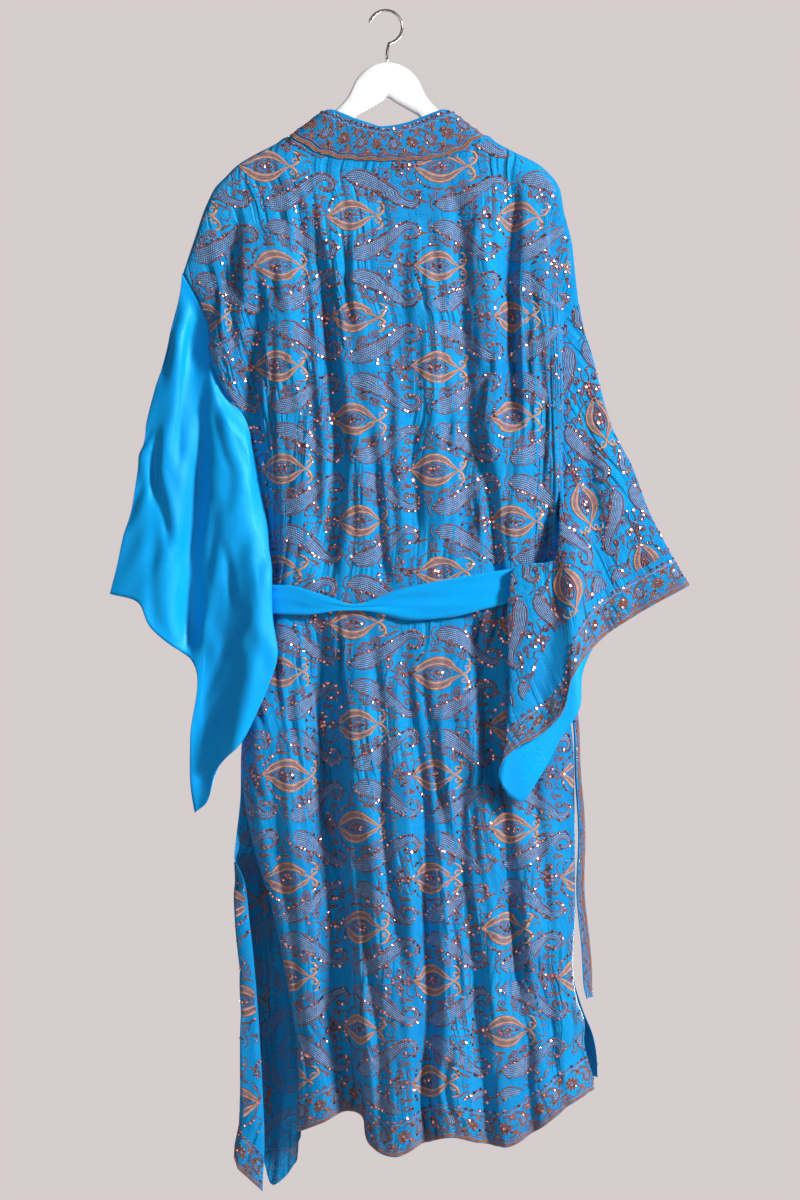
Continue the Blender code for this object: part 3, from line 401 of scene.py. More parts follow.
def resample(rows, count):
    """Space each row of points evenly along its own length."""
    spaced = []
    for row in rows:
        steps = np.linalg.norm(np.diff(row, axis=0), axis=1)
        at = np.concatenate([[0.0], np.cumsum(steps)])
        want = np.linspace(0.0, at[-1], count)
        spaced.append(np.stack([np.interp(want, at, row[:, axis]) for axis in range(3)], axis=-1))
    return np.array(spaced)


def down_shares(count):
    """Rows that are close together where the cloth rolls over the shoulders."""
    roll = [0.0, 0.0007, 0.0018, 0.0034, 0.0055, 0.008, 0.011, 0.0155, 0.021, 0.029]
    return np.concatenate([roll, np.linspace(0.038, 1.0, count - len(roll))])


def side_standoff(x, z):
    """How far a seam edge stands off; the right armpit is lower than the left one."""
    return level_value(SIDE_STANDOFF, z + 0.078 * smooth((x + 0.10) / 0.20) * smooth((-z - 0.30) / 0.2))


def body_depth(u_edge, x, z, drop, fullness, neck):
    """Stand-off of the body's cloth before folds: rolled at the shoulders, thin at the sides."""
    roll = 0.0005 + 0.0095 * (1.0 - np.exp(-drop / 0.004))
    roll = roll + (0.01 - roll) * neck
    full = level_value(fullness, z)
    standing = roll + np.maximum(full - 0.01, 0.0) * smooth(drop / 0.13)
    return side_standoff(x, z) * (1.0 - u_edge) + standing * u_edge


def back_grid(count_across, count_down, plain=False):
    """The back panel's middle surface; plain leaves out its folds."""
    top = LEFT_SHOULDER + BACK_NECK + RIGHT_SHOULDER
    left = LEFT_ARMHOLE + LEFT_SIDE + BACK_LEFT_SLIT
    right = RIGHT_ARMHOLE + RIGHT_SIDE + BACK_RIGHT_SLIT
    fine = np.linspace(0.0, 1.0, 361)
    down = down_shares(count_down)
    plan = patch(length_edge(top), length_edge(BACK_HEM), falling_edge(left), falling_edge(right),
                 fine, down)
    x, z = plan[..., 0], plan[..., 1]
    drop = plan[:1, :, 1] - z
    edge = np.sqrt(1.0 - np.abs(2.0 * fine - 1.0) ** 3.2)[None]
    neck = smooth((0.1275 - np.abs(plan[:1, :, 0])) / 0.004) * smooth(1.0 - drop / 0.05)
    depth = body_depth(edge, x, z, drop, BACK_FULLNESS, neck)
    if plain:
        return np.stack([x, -depth, z], axis=-1)
    behind = 0.02 * smooth((-0.03 - x) / 0.035) * smooth((-0.98 - z) / 0.25)
    valley = fold_field(BACK_FOLDS, x, z) * smooth(drop / 0.05) + behind * edge
    depth = dimple(depth, valley, 0.003) + fold_field(BACK_RIDGES, x, z) * smooth(drop / 0.05) * edge
    depth = dimple(depth, fold_field(BACK_CREASES, x, z) * edge, 0.0024)
    return resample(np.stack([x, -depth, z], axis=-1), count_across)


def turned_edge(row_z, first, depth):
    """The slit edge that curls round towards the back, from its free edge to the fold."""
    turn = math.pi * smooth((-1.035 - row_z) / 0.13)
    width = np.interp(-row_z, [0.94, 1.155, 1.233, 1.337, 1.44, 1.54],
                      [0.014, 0.023, 0.027, 0.033, 0.043, 0.06])
    pieces = 5
    heading = [math.pi + turn * min((index + 0.5) / 3.0, 1.0) for index in range(pieces)]
    step = [width / (1.6 * pieces) if index < 3 else width * 0.7 / (pieces - 3)
            for index in range(pieces)]
    ahead = np.cumsum([[size * math.cos(angle), size * math.sin(angle)]
                       for angle, size in zip(heading, step)], axis=0)
    low = smooth((-1.30 - row_z) / 0.16)
    slant = np.linspace(0.0, 1.0, pieces + 1)[1:] * -0.073 * low
    hinge = first[0] - ahead[:, 0].min()
    flap = np.stack([hinge + ahead[:, 0], depth + ahead[:, 1], first[1] + slant], axis=-1)
    return hinge, flap[::-1]


def front_grid(side, count_across, count_down, plain=False):
    """A front panel's middle surface; side is -1 for the wearer's left and 1 for the right."""
    if side < 0:
        outer = LEFT_ARMHOLE + LEFT_SIDE + FRONT_LEFT_SLIT
        shoulder, hem, inner, folds = LEFT_SHOULDER, FRONT_LEFT_HEM, LEFT_FRONT_EDGE, FRONT_LEFT_FOLDS
        left, right = falling_edge(outer), falling_edge(inner)
    else:
        outer = RIGHT_ARMHOLE + RIGHT_SIDE + FRONT_RIGHT_SLIT
        shoulder, hem, inner, folds = RIGHT_SHOULDER, FRONT_RIGHT_HEM, RIGHT_FRONT_EDGE, FRONT_RIGHT_FOLDS
        left, right = falling_edge(inner), falling_edge(outer)
    fine = np.linspace(0.0, 1.0, 241)
    down = down_shares(count_down)
    plan = patch(length_edge(shoulder), length_edge(hem), left, right, fine, down)
    x, z = plan[..., 0], plan[..., 1]
    drop = plan[:1, :, 1] - z
    inwards = fine if side < 0 else 1.0 - fine
    edge = np.sqrt(1.0 - (1.0 - inwards) ** 3.2)[None]
    neck = smooth((0.134 - np.abs(plan[:1, :, 0])) / 0.01) * smooth(1.0 - drop / 0.05)
    depth = body_depth(edge, x, z, drop, FRONT_FULLNESS, neck)
    if not plain:
        depth = dimple(depth, fold_field(folds, x, z) * smooth(drop / 0.05), 0.0045)
    if side < 0:
        depth = depth + 0.0075 * smooth((x + 0.07) / 0.04) * smooth((-0.45 - z) / 0.15)
    surface = np.stack([x, depth, z], axis=-1)
    if plain:
        return surface
    if side > 0:
        return resample(surface, count_across)
    rows = []
    for row in surface:
        hinge, flap = turned_edge(row[0, 2], row[0, [0, 2]], row[0, 1])
        body = row.copy()
        body[:, 0] = row[:, 0] + (hinge - row[0, 0]) * (1.0 - smooth(fine / 0.25))
        rows.append(np.concatenate([flap, resample([body], count_across)[0]]))
    return np.array(rows)


def sleeve_lean(side, x, z):
    """How far the low inner part of a sleeve swings behind the body, towards -Y."""
    if side < 0:
        start = np.interp(-z, [0.60, 0.66, 0.765, 0.83, 0.90, 0.95, 1.04],
                          [-0.178, -0.202, -0.206, -0.21, -0.224, -0.24, -0.25])
        swing = np.interp(-z, [0.70, 0.78, 0.92], [0.032, 0.037, 0.042])
        return -swing * smooth((x - start) / 0.05) * smooth((-0.622 - z) / 0.13)
    start = np.interp(-z, [0.56, 0.70, 0.78, 0.95, 1.05], [0.268, 0.286, 0.29, 0.302, 0.304])
    swing = np.interp(-z, [0.70, 0.80, 0.95, 1.03], [0.043, 0.049, 0.064, 0.068])
    return -swing * smooth((start - x) / 0.055) * smooth((-0.575 - z) / 0.14)


def sleeve_plan(side, cuff, around, along):
    """A sleeve half's (x, z) places: down the section, then along to the cuff."""
    if side < 0:
        top, under, armhole = LEFT_SLEEVE_TOP, LEFT_SLEEVE_UNDER, LEFT_SLEEVE_SEAM
    else:
        top, under, armhole = RIGHT_SLEEVE_TOP, RIGHT_SLEEVE_UNDER, RIGHT_SLEEVE_SEAM
    crowd = 1.0 if side < 0 else 2.3
    return patch(length_edge(armhole), lambda share: curve(cuff, np.asarray(share) ** crowd),
                 length_edge(top), length_edge(under), around, along, 1.6)


def sleeve_layer(side, face, cuff, around, along):
    """The middle surface of a sleeve's back (face -1) or front (face 1) layer."""
    plan = sleeve_plan(side, cuff, around, along)
    x, z = plan[..., 0], plan[..., 1]
    seam = side_standoff(x[:1], z[:1])
    bulge = np.sin(np.pi * np.clip(around, 0.0, 1.0))[None]
    floor = 0.0042 if side < 0 else 0.00042
    swell = (0.011 + 0.006 * along)[:, None] * bulge ** 0.7 + floor
    beyond = smooth((-0.565 - z[:1]) / 0.06) * (side > 0)
    near = np.maximum(smooth(along / 0.22)[:, None], beyond)
    half = seam * (1 - near) + swell * near
    lean = sleeve_lean(side, x, z) * np.maximum(smooth(along / 0.12)[:, None], beyond)
    y = lean + face * half
    inside = np.sin(np.pi * around)[None] ** 0.5 * smooth(along / 0.10)[:, None]
    if face < 0:
        folds = LEFT_SLEEVE_FOLDS if side < 0 else RIGHT_SLEEVE_FOLDS
        ridges = LEFT_SLEEVE_RIDGES if side < 0 else RIGHT_SLEEVE_RIDGES
        y = y - fold_field(ridges, x, z) * inside
        room = np.maximum(lean + half - y - 0.005, 1e-6)
        y = y + room * (1 - np.exp(-fold_field(folds, x, z) * inside / room))
    return np.stack([x, y, z], axis=-1)


def left_sleeve_loop(count_around, count_along):
    """Rings of the plain sleeve from the armhole to the cuff, closed at top and underarm."""
    along = np.linspace(0.0, 1.0, count_along)
    around = 0.5 - 0.5 * np.cos(np.linspace(0.0, np.pi, count_around))
    back = sleeve_layer(-1, -1, LEFT_SLEEVE_CUFF, around, along)
    front = sleeve_layer(-1, 1, LEFT_SLEEVE_CUFF, around, along)
    return np.concatenate([back, front[:, ::-1]], axis=1)


def hold_back(grid, distance):
    """Draw a grid's first row in by a distance, or out by a negative one."""
    moved = grid.copy()
    moved[0] = grid[0] + unit(grid[1] - grid[0]) * distance
    return moved


def front_band_depth(side, z):
    """Where a front band lies: the left one over the right one."""
    depth = level_value(FRONT_FULLNESS, z)
    drop = -0.16 - z
    standing = 0.01 + np.maximum(depth - 0.01, 0.0) * smooth(drop / 0.13)
    if side < 0:
        standing = standing + 0.0075 * smooth((-0.45 - z) / 0.15)
    return standing


def neck_seam(x):
    """The height of the back neck's seam."""
    line = curve(BACK_NECK, np.linspace(0.0, 1.0, 200))
    return float(np.interp(x, line[:, 0], line[:, 1])) + 5 * SEAM_GAP


def collar_grid():
    """The doubled band: up one front, round the back of the neck and down the other front."""
    def front(side):
        edge = LEFT_FRONT_EDGE if side < 0 else RIGHT_FRONT_EDGE
        z = np.concatenate([np.linspace(-1.405, -0.78, 10), np.linspace(-0.72, -0.20, 11)])
        seam_x = x_at_level(edge, z) - side * 0.0012
        reach = 0.0465
        slope = 0.008 * smooth((z + 0.75) / 0.1)
        seam = np.stack([seam_x, front_band_depth(side, z), z], axis=-1)
        free_x = seam_x - side * reach
        free = np.stack([free_x, front_band_depth(side, z), z + slope], axis=-1)
        return seam, free

    def neck(side):
        seam = [(0.1215, 0.0104, -0.1765), (0.1235, 0.0086, -0.167), (0.1245, 0.0045, -0.1622),
                (0.124, -0.005, -0.162)]
        seam = [(side * x, y, z) for x, y, z in seam]
        for x, y in ((0.119, -0.01), (0.1085, -0.0104), (0.095, -0.0106), (0.068, -0.0106), (0.035, -0.0106)):
            seam.append((side * x, y, neck_seam(side * x)))
        free = [(0.076, 0.011, -0.144), (0.08, 0.0084, -0.1345), (0.0815, 0.0045, -0.1295),
                (0.081, -0.0045, -0.1292), (0.078, -0.0084, -0.1288), (0.07, -0.0106, -0.129),
                (0.06, -0.011, -0.1325), (0.04, -0.0112, -0.1405), (0.02, -0.0113, -0.147)]
        return np.array(seam), np.array([(side * x, y, z) for x, y, z in free])

    left_seam, left_free = front(-1)
    right_seam, right_free = front(1)
    left_neck, left_top = neck(-1)
    right_neck, right_top = neck(1)
    middle_seam = np.array([[0.0, -0.0106, neck_seam(0.0)]])
    middle_free = np.array([[-0.006, -0.0113, -0.1505]])
    seam = np.concatenate([left_seam, left_neck, middle_seam, right_neck[::-1], right_seam[::-1]])
    free = np.concatenate([left_free, left_top, middle_free, right_top[::-1], right_free[::-1]])
    share = np.linspace(0.0, 1.0, 5)[:, None, None]
    return (1 - share) * seam[None] + share * free[None]


def waist_reach(surface, x):
    """How far a panel stands off at the waist, over the sash's whole width."""
    reach = np.zeros_like(x)
    for row in surface:
        if -0.805 < row[:, 2].mean() < -0.705:
            reach = np.maximum(reach, np.interp(x, row[:, 0], np.abs(row[:, 1]), 0.0, 0.0))
    return reach


def waist_loop(count):
    """The sash's path round the robe, starting at the wearer's left side."""
    left, right = -0.16, 0.2205
    clear = 0.004
    share = 0.5 - 0.5 * np.cos(np.linspace(0.0, np.pi, count))
    x = left + (right - left) * share
    back = -waist_reach(back_grid(2, 60, plain=True), x)
    front = np.maximum(waist_reach(front_grid(-1, 2, 60, plain=True), x),
                       waist_reach(front_grid(1, 2, 60, plain=True), x))
    front = np.maximum(front, 0.0365 * smooth((0.064 - np.abs(x)) / 0.03))
    path = np.concatenate([np.stack([x, back], axis=-1), np.stack([x, front], axis=-1)[-2:0:-1]])
    ahead = np.roll(path, -1, axis=0) - np.roll(path, 1, axis=0)
    out = np.stack([ahead[:, 1], -ahead[:, 0]], axis=-1)
    out = out / np.linalg.norm(out, axis=-1, keepdims=True)
    return path + out * clear


def sash_grid():
    """The sash's middle surface: columns go round the waist, rows down its width."""
    path = waist_loop(31)
    at = [row.x for row in SASH_BACK]
    top = np.interp(path[:, 0], at, [row.top for row in SASH_BACK])
    bottom = np.interp(path[:, 0], at, [row.bottom for row in SASH_BACK])
    in_front = smooth((path[:, 1] + 0.004) / 0.02)
    top = top * (1 - in_front) - 0.728 * in_front
    bottom = bottom * (1 - in_front) - 0.77 * in_front
    share = np.linspace(0.0, 1.0, 5)[:, None]
    z = top[None] * (1 - share) + bottom[None] * share
    return np.stack([np.broadcast_to(path[:, 0], z.shape), np.broadcast_to(path[:, 1], z.shape), z],
                    axis=-1)


def strip_grid(stations):
    """A hanging strip from (centre, half-width vector) stations, bowed across its width."""
    share = np.linspace(-1.0, 1.0, 5)
    rows = []
    for centre, half in stations:
        centre, half = np.array(centre), np.array(half)
        bow = np.array([-half[1], half[0], 0.0]) * 0.22
        rows.append([centre + half * s + bow * (1 - s * s) for s in share])
    return np.array(rows)


def sash_ends():
    """The two hanging ends of the sash: the seen one at the side and the other in front."""
    seen = strip_grid([
        ((0.1822, 0.0375, -0.769), (0.0035, 0.001, 0.013)),
        ((0.213, 0.037, -0.82), (0.008, 0.008, 0.006)),
        ((0.237, 0.026, -0.88), (0.006, 0.013, 0.0)),
        ((0.2475, 0.017, -0.935), (0.0035, 0.016, 0.0)),
        ((0.251, 0.015, -1.0), (0.0038, 0.017, 0.0)),
        ((0.2535, 0.016, -1.07), (0.0045, 0.0165, 0.0)),
        ((0.2535, 0.015, -1.14), (0.0052, 0.017, 0.0)),
        ((0.257, 0.0165, -1.2), (0.0058, 0.016, 0.0)),
        ((0.262, 0.017, -1.255), (0.0062, 0.015, 0.0)),
        ((0.265, 0.018, -1.284), (0.0045, 0.011, 0.0)),
    ])
    other = strip_grid([
        ((0.1655, 0.0375, -0.7736), (0.011, 0.0, 0.0)),
        ((0.164, 0.042, -0.79), (0.0135, 0.0, 0.0)),
        ((0.16, 0.049, -0.84), (0.017, 0.002, 0.0)),
        ((0.158, 0.051, -0.92), (0.018, -0.002, 0.0)),
        ((0.16, 0.052, -1.02), (0.018, 0.003, 0.0)),
        ((0.159, 0.053, -1.12), (0.0185, -0.002, 0.0)),
        ((0.161, 0.054, -1.22), (0.019, 0.002, 0.0)),
    ])
    return seen, other


def knot_rings():
    """A soft knot of wrapped cloth, flattened against the robe."""
    rings = []
    for step in range(11):
        angle = math.pi * (0.03 + 0.94 * step / 10)
        height, girth = -math.cos(angle), math.sin(angle)
        pinch = 1.0 - 0.16 * math.exp(-((height - 0.05) / 0.22) ** 2)
        ring = []
        for side in range(14):
            turn = 2 * math.pi * side / 14
            ring.append((0.166 + 0.0215 * girth * pinch * math.cos(turn),
                         0.0388 + 0.0105 * girth * pinch * math.sin(turn),
                         -0.749 + 0.024 * height + 0.003 * math.cos(turn) * girth))
        rings.append(ring)
    return rings


def hanger_rings():
    """Sections of the flat hanger from one end to the other, with rounded edges."""
    stations = [HangerStation(-row.x, row.top, row.bottom) for row in HANGER[:0:-1]] + list(HANGER)
    rings = []
    for index, row in enumerate(stations):
        end = min(index, len(stations) - 1 - index)
        half = HANGER_HALF * (0.72 if end == 0 else 0.93 if end == 1 else 1.0)
        middle, tall = (row.top + row.bottom) / 2, (row.top - row.bottom) / 2
        ring = []
        for side in range(12):
            turn = 2 * math.pi * (side + 0.5) / 12
            wide, high = math.cos(turn), math.sin(turn)
            y = half * math.copysign(abs(wide) ** 0.45, wide)
            z = middle + tall * math.copysign(abs(high) ** 0.30, high)
            ring.append((row.x, y, z))
        rings.append(ring)
    return rings


def hook_rings():
    """The round wire hook, from its tip over the rail and down to the cap on the hanger."""
    centre_x, centre_z = -0.002, -0.0217
    path = []
    for step in range(25):
        angle = math.radians(165 - 243 * step / 24)
        path.append((centre_x + HOOK_RADIUS * math.cos(angle), 0.0,
                     centre_z + HOOK_RADIUS * math.sin(angle)))
    path.extend([(0.0016, 0.0, -0.047), (0.0002, 0.0, -0.052), (0.0, 0.0, -0.058),
                 (0.0, 0.0, -0.06765)])
    path = np.array(path) + np.array([0.0, 0.0, HOOK_WIRE])
    rings = []
    for index, point in enumerate(path):
        ahead = path[min(index + 1, len(path) - 1)] - path[max(index - 1, 0)]
        ahead = ahead / np.linalg.norm(ahead)
        out = np.array([-ahead[2], 0.0, ahead[0]])
        wire = HOOK_WIRE * (0.62 if index == 0 else 1.0)
        ring = []
        for side in range(10):
            turn = 2 * math.pi * side / 10
            ring.append(point + wire * (math.cos(turn) * out + math.sin(turn) * np.array([0.0, 1.0, 0.0])))
        rings.append(ring)
    return rings


MILLIMETRE = 0.001
REPEAT = (0.115, 0.1315)
FIRST_ONION = (-0.049, -0.925)
HEM_BORDER = 0.05
CUFF_BORDER = 0.047

# Threads of the stitch work, in the order of the materials on each stitched piece.
PAISLEY, OUTLINE, PETAL, COPPER, BROWN, BLUSH = range(6)
THREADS = ("paisley", "outline", "petal", "copper", "brown", "blush")
FADED_THREADS = ("faded", "faded", "copper", "faded", "faded", "faded")

# Control points of the motifs, in millimetres from the middle of the onion or of the pair.
ONION_EDGE = [(-34, 0.4), (-26, 4.6), (-17, 10.6), (-7, 14.8), (3, 15.2), (12, 12.4), (21, 6.6), (32, 0.4)]
ONION_INSIDE = [(-20, 0.7), (-13, 4.4), (-5, 7.2), (3, 7.3), (10, 5.2), (17, 0.7)]
ONION_VEINS = [[(-15, 0.6), (-9, 4.5), (-3, 7)], [(-8, 0.6), (-1, 4), (4, 7)], [(-1, 0.6), (5, 3.4), (9, 5)]]
CUP = [(-30, 1), (-31.5, 9), (-27, 18), (-19, 25), (-11, 29)]
CUP_LEAF = [(-14, 26.5), (-6, 28.5), (3, 27)]
SHORT_LEAF = [(8, 25), (14, 27), (21, 25)]
PAISLEY_SPINE = [(-7, 14.8), (4, 15.0), (17, 17.4), (29, 22.6), (41, 30), (53, 38.6), (65, 46.6), (76, 51),
                 (85, 48.5), (88.5, 41.5), (84.5, 35.6), (77.5, 36.4)]
PAISLEY_HALF = [0.6, 8.8, 10.6, 9.8, 8.4, 7.1, 5.8, 4.7, 3.7, 2.8, 2.0, 0.9]
PAIR_STEM = [(34, 2.5), (44, 5.5), (54, 3.2), (64, 1.2), (76, 0.2), (88, 0)]
PAIR_LEAF = [(70, 21), (75.5, 24.5), (82, 24)]
PAIR_SPRIG = [(33, 4), (31, 9), (34, 14), (40, 18), (47, 21), (55, 27), (63, 32)]

# The length of one border motif, how far the panels' shoulder edges are drawn in (they reach out a little),
# and the corners of one sequin.
BORDER_REPEAT = 0.056
SHOULDER_LAP = -0.0006
SEQUIN_SIDES = 7

# The camera's sensor in millimetres, the height of what it sees in metres and its middle (x, z),
# then the floor.
SENSOR_WIDTH = 36.0
SEEN_HEIGHT = 1.56
SEEN_MIDDLE = (0.0169, -0.765)
FLOOR_RADIUS = 2.0
FLOOR_LEVEL = -1.95

SETTINGS = {}


def unit(vectors):
    """Vectors at length one."""
    return vectors / np.maximum(np.linalg.norm(vectors, axis=-1, keepdims=True), 1e-12)


def refine(grid, rows, columns):
    """A finer grid on rounded curves through the points of a coarse one."""
    for axis, count in ((0, rows or grid.shape[0]), (1, columns or grid.shape[1])):
        grid = np.moveaxis(np.array(grid, dtype=float), axis, 0)
        slope = np.gradient(grid, axis=0)
        at = np.linspace(0.0, len(grid) - 1.0, count)
        low = np.minimum(at.astype(int), len(grid) - 2)
        t = (at - low)[:, None, None]
        grid = ((2 * t**3 - 3 * t**2 + 1) * grid[low] + (t**3 - 2 * t**2 + t) * slope[low]
                + (3 * t**2 - 2 * t**3) * grid[low + 1] + (t**3 - t**2) * slope[low + 1])
        grid = np.moveaxis(grid, 0, axis)
    return grid


def refine_closed(grid, rows):
    """A finer grid whose rows close on themselves, with four points for each one."""
    wide = np.concatenate([grid[:, -3:], grid, grid[:, :3]], axis=1)
    wide = refine(wide, rows, 4 * (wide.shape[1] - 1) + 1)
    return wide[:, 12:12 + 4 * grid.shape[1]]


def outward(grid, facing, closed=False):
    """Unit normals of a sheet, turned to the side that shows."""
    if closed:
        wide = np.concatenate([grid[:, -1:], grid, grid[:, :1]], axis=1)
        across = wide[:, 2:] - wide[:, :-2]
    else:
        across = np.gradient(grid, axis=1)
    return unit(np.cross(across, np.gradient(grid, axis=0))) * facing


def facing_of(grid, towards=None, closed=False):
    """Which way to turn a sheet's normals: along towards, or away from the middle of each closed row."""
    normal = outward(grid, 1.0, closed)
    wanted = grid - grid.mean(axis=1, keepdims=True) if towards is None else np.array(towards)
    return 1.0 if (normal * wanted).sum() > 0 else -1.0


def grain_of(grid):
    """Places on the cloth itself: across a row from its middle, and down a column, in metres."""
    grain = np.zeros(grid.shape)
    grain[:, 1:, 0] = np.cumsum(np.linalg.norm(np.diff(grid, axis=1), axis=-1), axis=1)
    grain[:, :, 0] -= grain[:, grid.shape[1] // 2, 0][:, None]
    grain[1:, :, 1] = np.cumsum(np.linalg.norm(np.diff(grid, axis=0), axis=-1), axis=0)
    return grain


def mesh_piece(name, points, faces, materials, slots=None, grain=None, smooth_faces=True):
    """A shown piece that rides on the robe's one body."""
    mesh = bpy.data.meshes.new(name)
    mesh.from_pydata(np.asarray(points).tolist(), [], faces)
    mesh.polygons.foreach_set("use_smooth", np.full(len(mesh.polygons), smooth_faces))
    for material in materials:
        mesh.materials.append(material)
    if slots is not None:
        mesh.polygons.foreach_set("material_index", np.asarray(slots, dtype=np.int32))
    if grain is not None:
        layer = mesh.attributes.new("grain", "FLOAT_VECTOR", "POINT")
        layer.data.foreach_set("vector", np.asarray(grain, dtype=np.float32).ravel())
    mesh.update()
    piece = bpy.data.objects.new(name, mesh)
    bpy.context.scene.collection.objects.link(piece)
    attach(piece, "root")
    return piece


def sheet_faces(rows, columns, closed):
    """The quads of a grid of points, and the two rims that close a shell of two such grids."""
    last = columns if closed else columns - 1
    row, column = np.meshgrid(np.arange(rows - 1), np.arange(last), indexing="ij")
    right = (column + 1) % columns
    quads = np.stack([row * columns + column, (row + 1) * columns + column,
                      (row + 1) * columns + right, row * columns + right], axis=-1).reshape(-1, 4)
    offset = rows * columns
    faces = [quads, quads[:, ::-1] + offset]
    here = np.arange(last)
    after = (here + 1) % columns
    low = (rows - 1) * columns
    faces.append(np.stack([here, after, after + offset, here + offset], axis=-1))
    faces.append(np.stack([low + after, low + here, low + here + offset, low + after + offset], axis=-1))
    if not closed:
        here = np.arange(rows - 1) * columns
        below = here + columns
        faces.append(np.stack([below, here, here + offset, below + offset], axis=-1))
        here, below = here + columns - 1, below + columns - 1
        faces.append(np.stack([here, below, below + offset, here + offset], axis=-1))
    return np.concatenate(faces)


def cloth_shell(name, grid, facing, material, thickness, closed=False, edge_round=False):
    """A thin closed shell of cloth on a grid of points, with its outer face where facing says."""
    rows, columns = grid.shape[:2]
    normal = outward(grid, facing, closed)
    half = np.full((rows, 1, 1), thickness / 2)
    if edge_round:
        share = np.linspace(-1.0, 1.0, rows)[:, None, None]
        half = half * np.clip(1.0 - np.abs(share) ** 5, 0.12, 1.0)
    points = np.concatenate([(grid + normal * half).reshape(-1, 3), (grid - normal * half).reshape(-1, 3)])
    faces = sheet_faces(rows, columns, closed)
    if facing > 0:
        faces = faces[:, ::-1]
    grain = grain_of(grid).reshape(-1, 3)
    piece = mesh_piece(name, points, faces.tolist(), [material], grain=np.concatenate([grain, grain]))
    return piece


class Fabric:
    """A map from places on flat cloth to the hung cloth: its place, the way it faces, and if it is there."""

    def __init__(self, start, step, place, normal, whole):
        self.start = np.array(start)
        self.step = np.array(step)
        self.place = place
        self.normal = normal
        self.whole = whole

    def at(self, flat):
        """The hung places, normals and presence of an array of flat places."""
        spot = (flat - self.start) / self.step
        low = np.floor(spot).astype(int)
        shape = np.array(self.whole.shape)
        inside = ((low >= 0) & (low < shape - 1)).all(axis=-1)
        low = np.clip(low, 0, shape - 2)
        share = np.clip(spot - low, 0.0, 1.0)
        place, normal, whole = 0.0, 0.0, inside
        for i in (0, 1):
            for j in (0, 1):
                weight = np.abs(1 - i - share[:, :1]) * np.abs(1 - j - share[:, 1:])
                place = place + self.place[low[:, 0] + i, low[:, 1] + j] * weight
                normal = normal + self.normal[low[:, 0] + i, low[:, 1] + j] * weight
                whole = whole & self.whole[low[:, 0] + i, low[:, 1] + j]
        return place, unit(normal), whole


def hung_map(grid, facing, middle_x, border, steepest=1.7):
    """The map of a panel that hangs straight down, by width along the cloth and by height."""
    normal = outward(grid, facing)
    hem = grid[-1]
    levels = np.arange(grid[..., 2].min() - 0.004, grid[..., 2].max() + 0.004, 0.0025)
    columns = grid.shape[1]
    found = np.full((len(levels), columns, 7), np.nan)
    values = np.concatenate([grid, normal, np.zeros(grid.shape[:2] + (1,))], axis=-1)
    for column in range(columns):
        z = grid[:, column, 2]
        for item in range(6):
            found[:, column, item] = np.interp(-levels, -z, values[:, column, item], np.nan, np.nan)
        found[:, column, 6] = levels - hem[column, 2]
    widths = np.arange(-0.60, 0.60, 0.0025)
    place = np.zeros((len(widths), len(levels), 3))
    turned = np.zeros_like(place)
    whole = np.zeros(place.shape[:2], dtype=bool)
    count = np.arange(columns)
    for index, row in enumerate(found):
        there = ~np.isnan(row[:, 0])
        if there.sum() < 4:
            continue
        filled = np.stack([np.interp(count, count[there], row[there, item]) for item in range(6)], axis=-1)
        run = np.diff(filled[:, :2], axis=0)
        flat = np.minimum(np.hypot(run[:, 0], run[:, 1]), np.abs(run[:, 0]) * steepest + 1e-5)
        across = np.concatenate([[0.0], np.cumsum(flat)])
        across -= across[np.argmin(np.abs(filled[:, 0] - middle_x))]
        for item in range(3):
            place[:, index, item] = np.interp(widths, across, filled[:, item])
            turned[:, index, item] = np.interp(widths, across, filled[:, item + 3])
        clear = there & (row[:, 6] > border)
        whole[:, index] = np.interp(widths, across, clear.astype(float), 0.0, 0.0) > 0.99
    return Fabric((widths[0], levels[0]), (0.0025, 0.0025), place, unit(turned), whole)


def edge_map(grid, facing, depth, fitted=False):
    """The map of a border: width along the edge at the grid's last row, and distance in from it."""
    normal = outward(grid, facing)[::-1]
    grid = grid[::-1]
    steps = np.linalg.norm(np.diff(grid, axis=0), axis=-1)
    away = np.concatenate([np.zeros((1, grid.shape[1])), np.cumsum(steps, axis=0)])
    if fitted:
        away = away / away[-1:] * depth
    inward = np.arange(0.0, depth + 0.0015, 0.0015)
    both = np.concatenate([grid, normal], axis=-1)
    strip = np.stack([np.stack([np.interp(inward, away[:, column], both[:, column, item])
                                for item in range(6)], axis=-1) for column in range(grid.shape[1])])
    length = np.concatenate([[0.0], np.cumsum(np.linalg.norm(np.diff(grid[0], axis=0), axis=-1))])
    along = np.arange(0.0, length[-1], 0.002)
    even = np.stack([np.stack([np.interp(along, length, strip[:, b, item]) for item in range(6)], axis=-1)
                     for b in range(len(inward))], axis=1)
    reach = np.interp(along, length, away[-1])
    whole = inward[None] <= reach[:, None] + 0.001
    return Fabric((0.0, 0.0), (0.002, 0.0015), even[..., :3], unit(even[..., 3:]), whole)


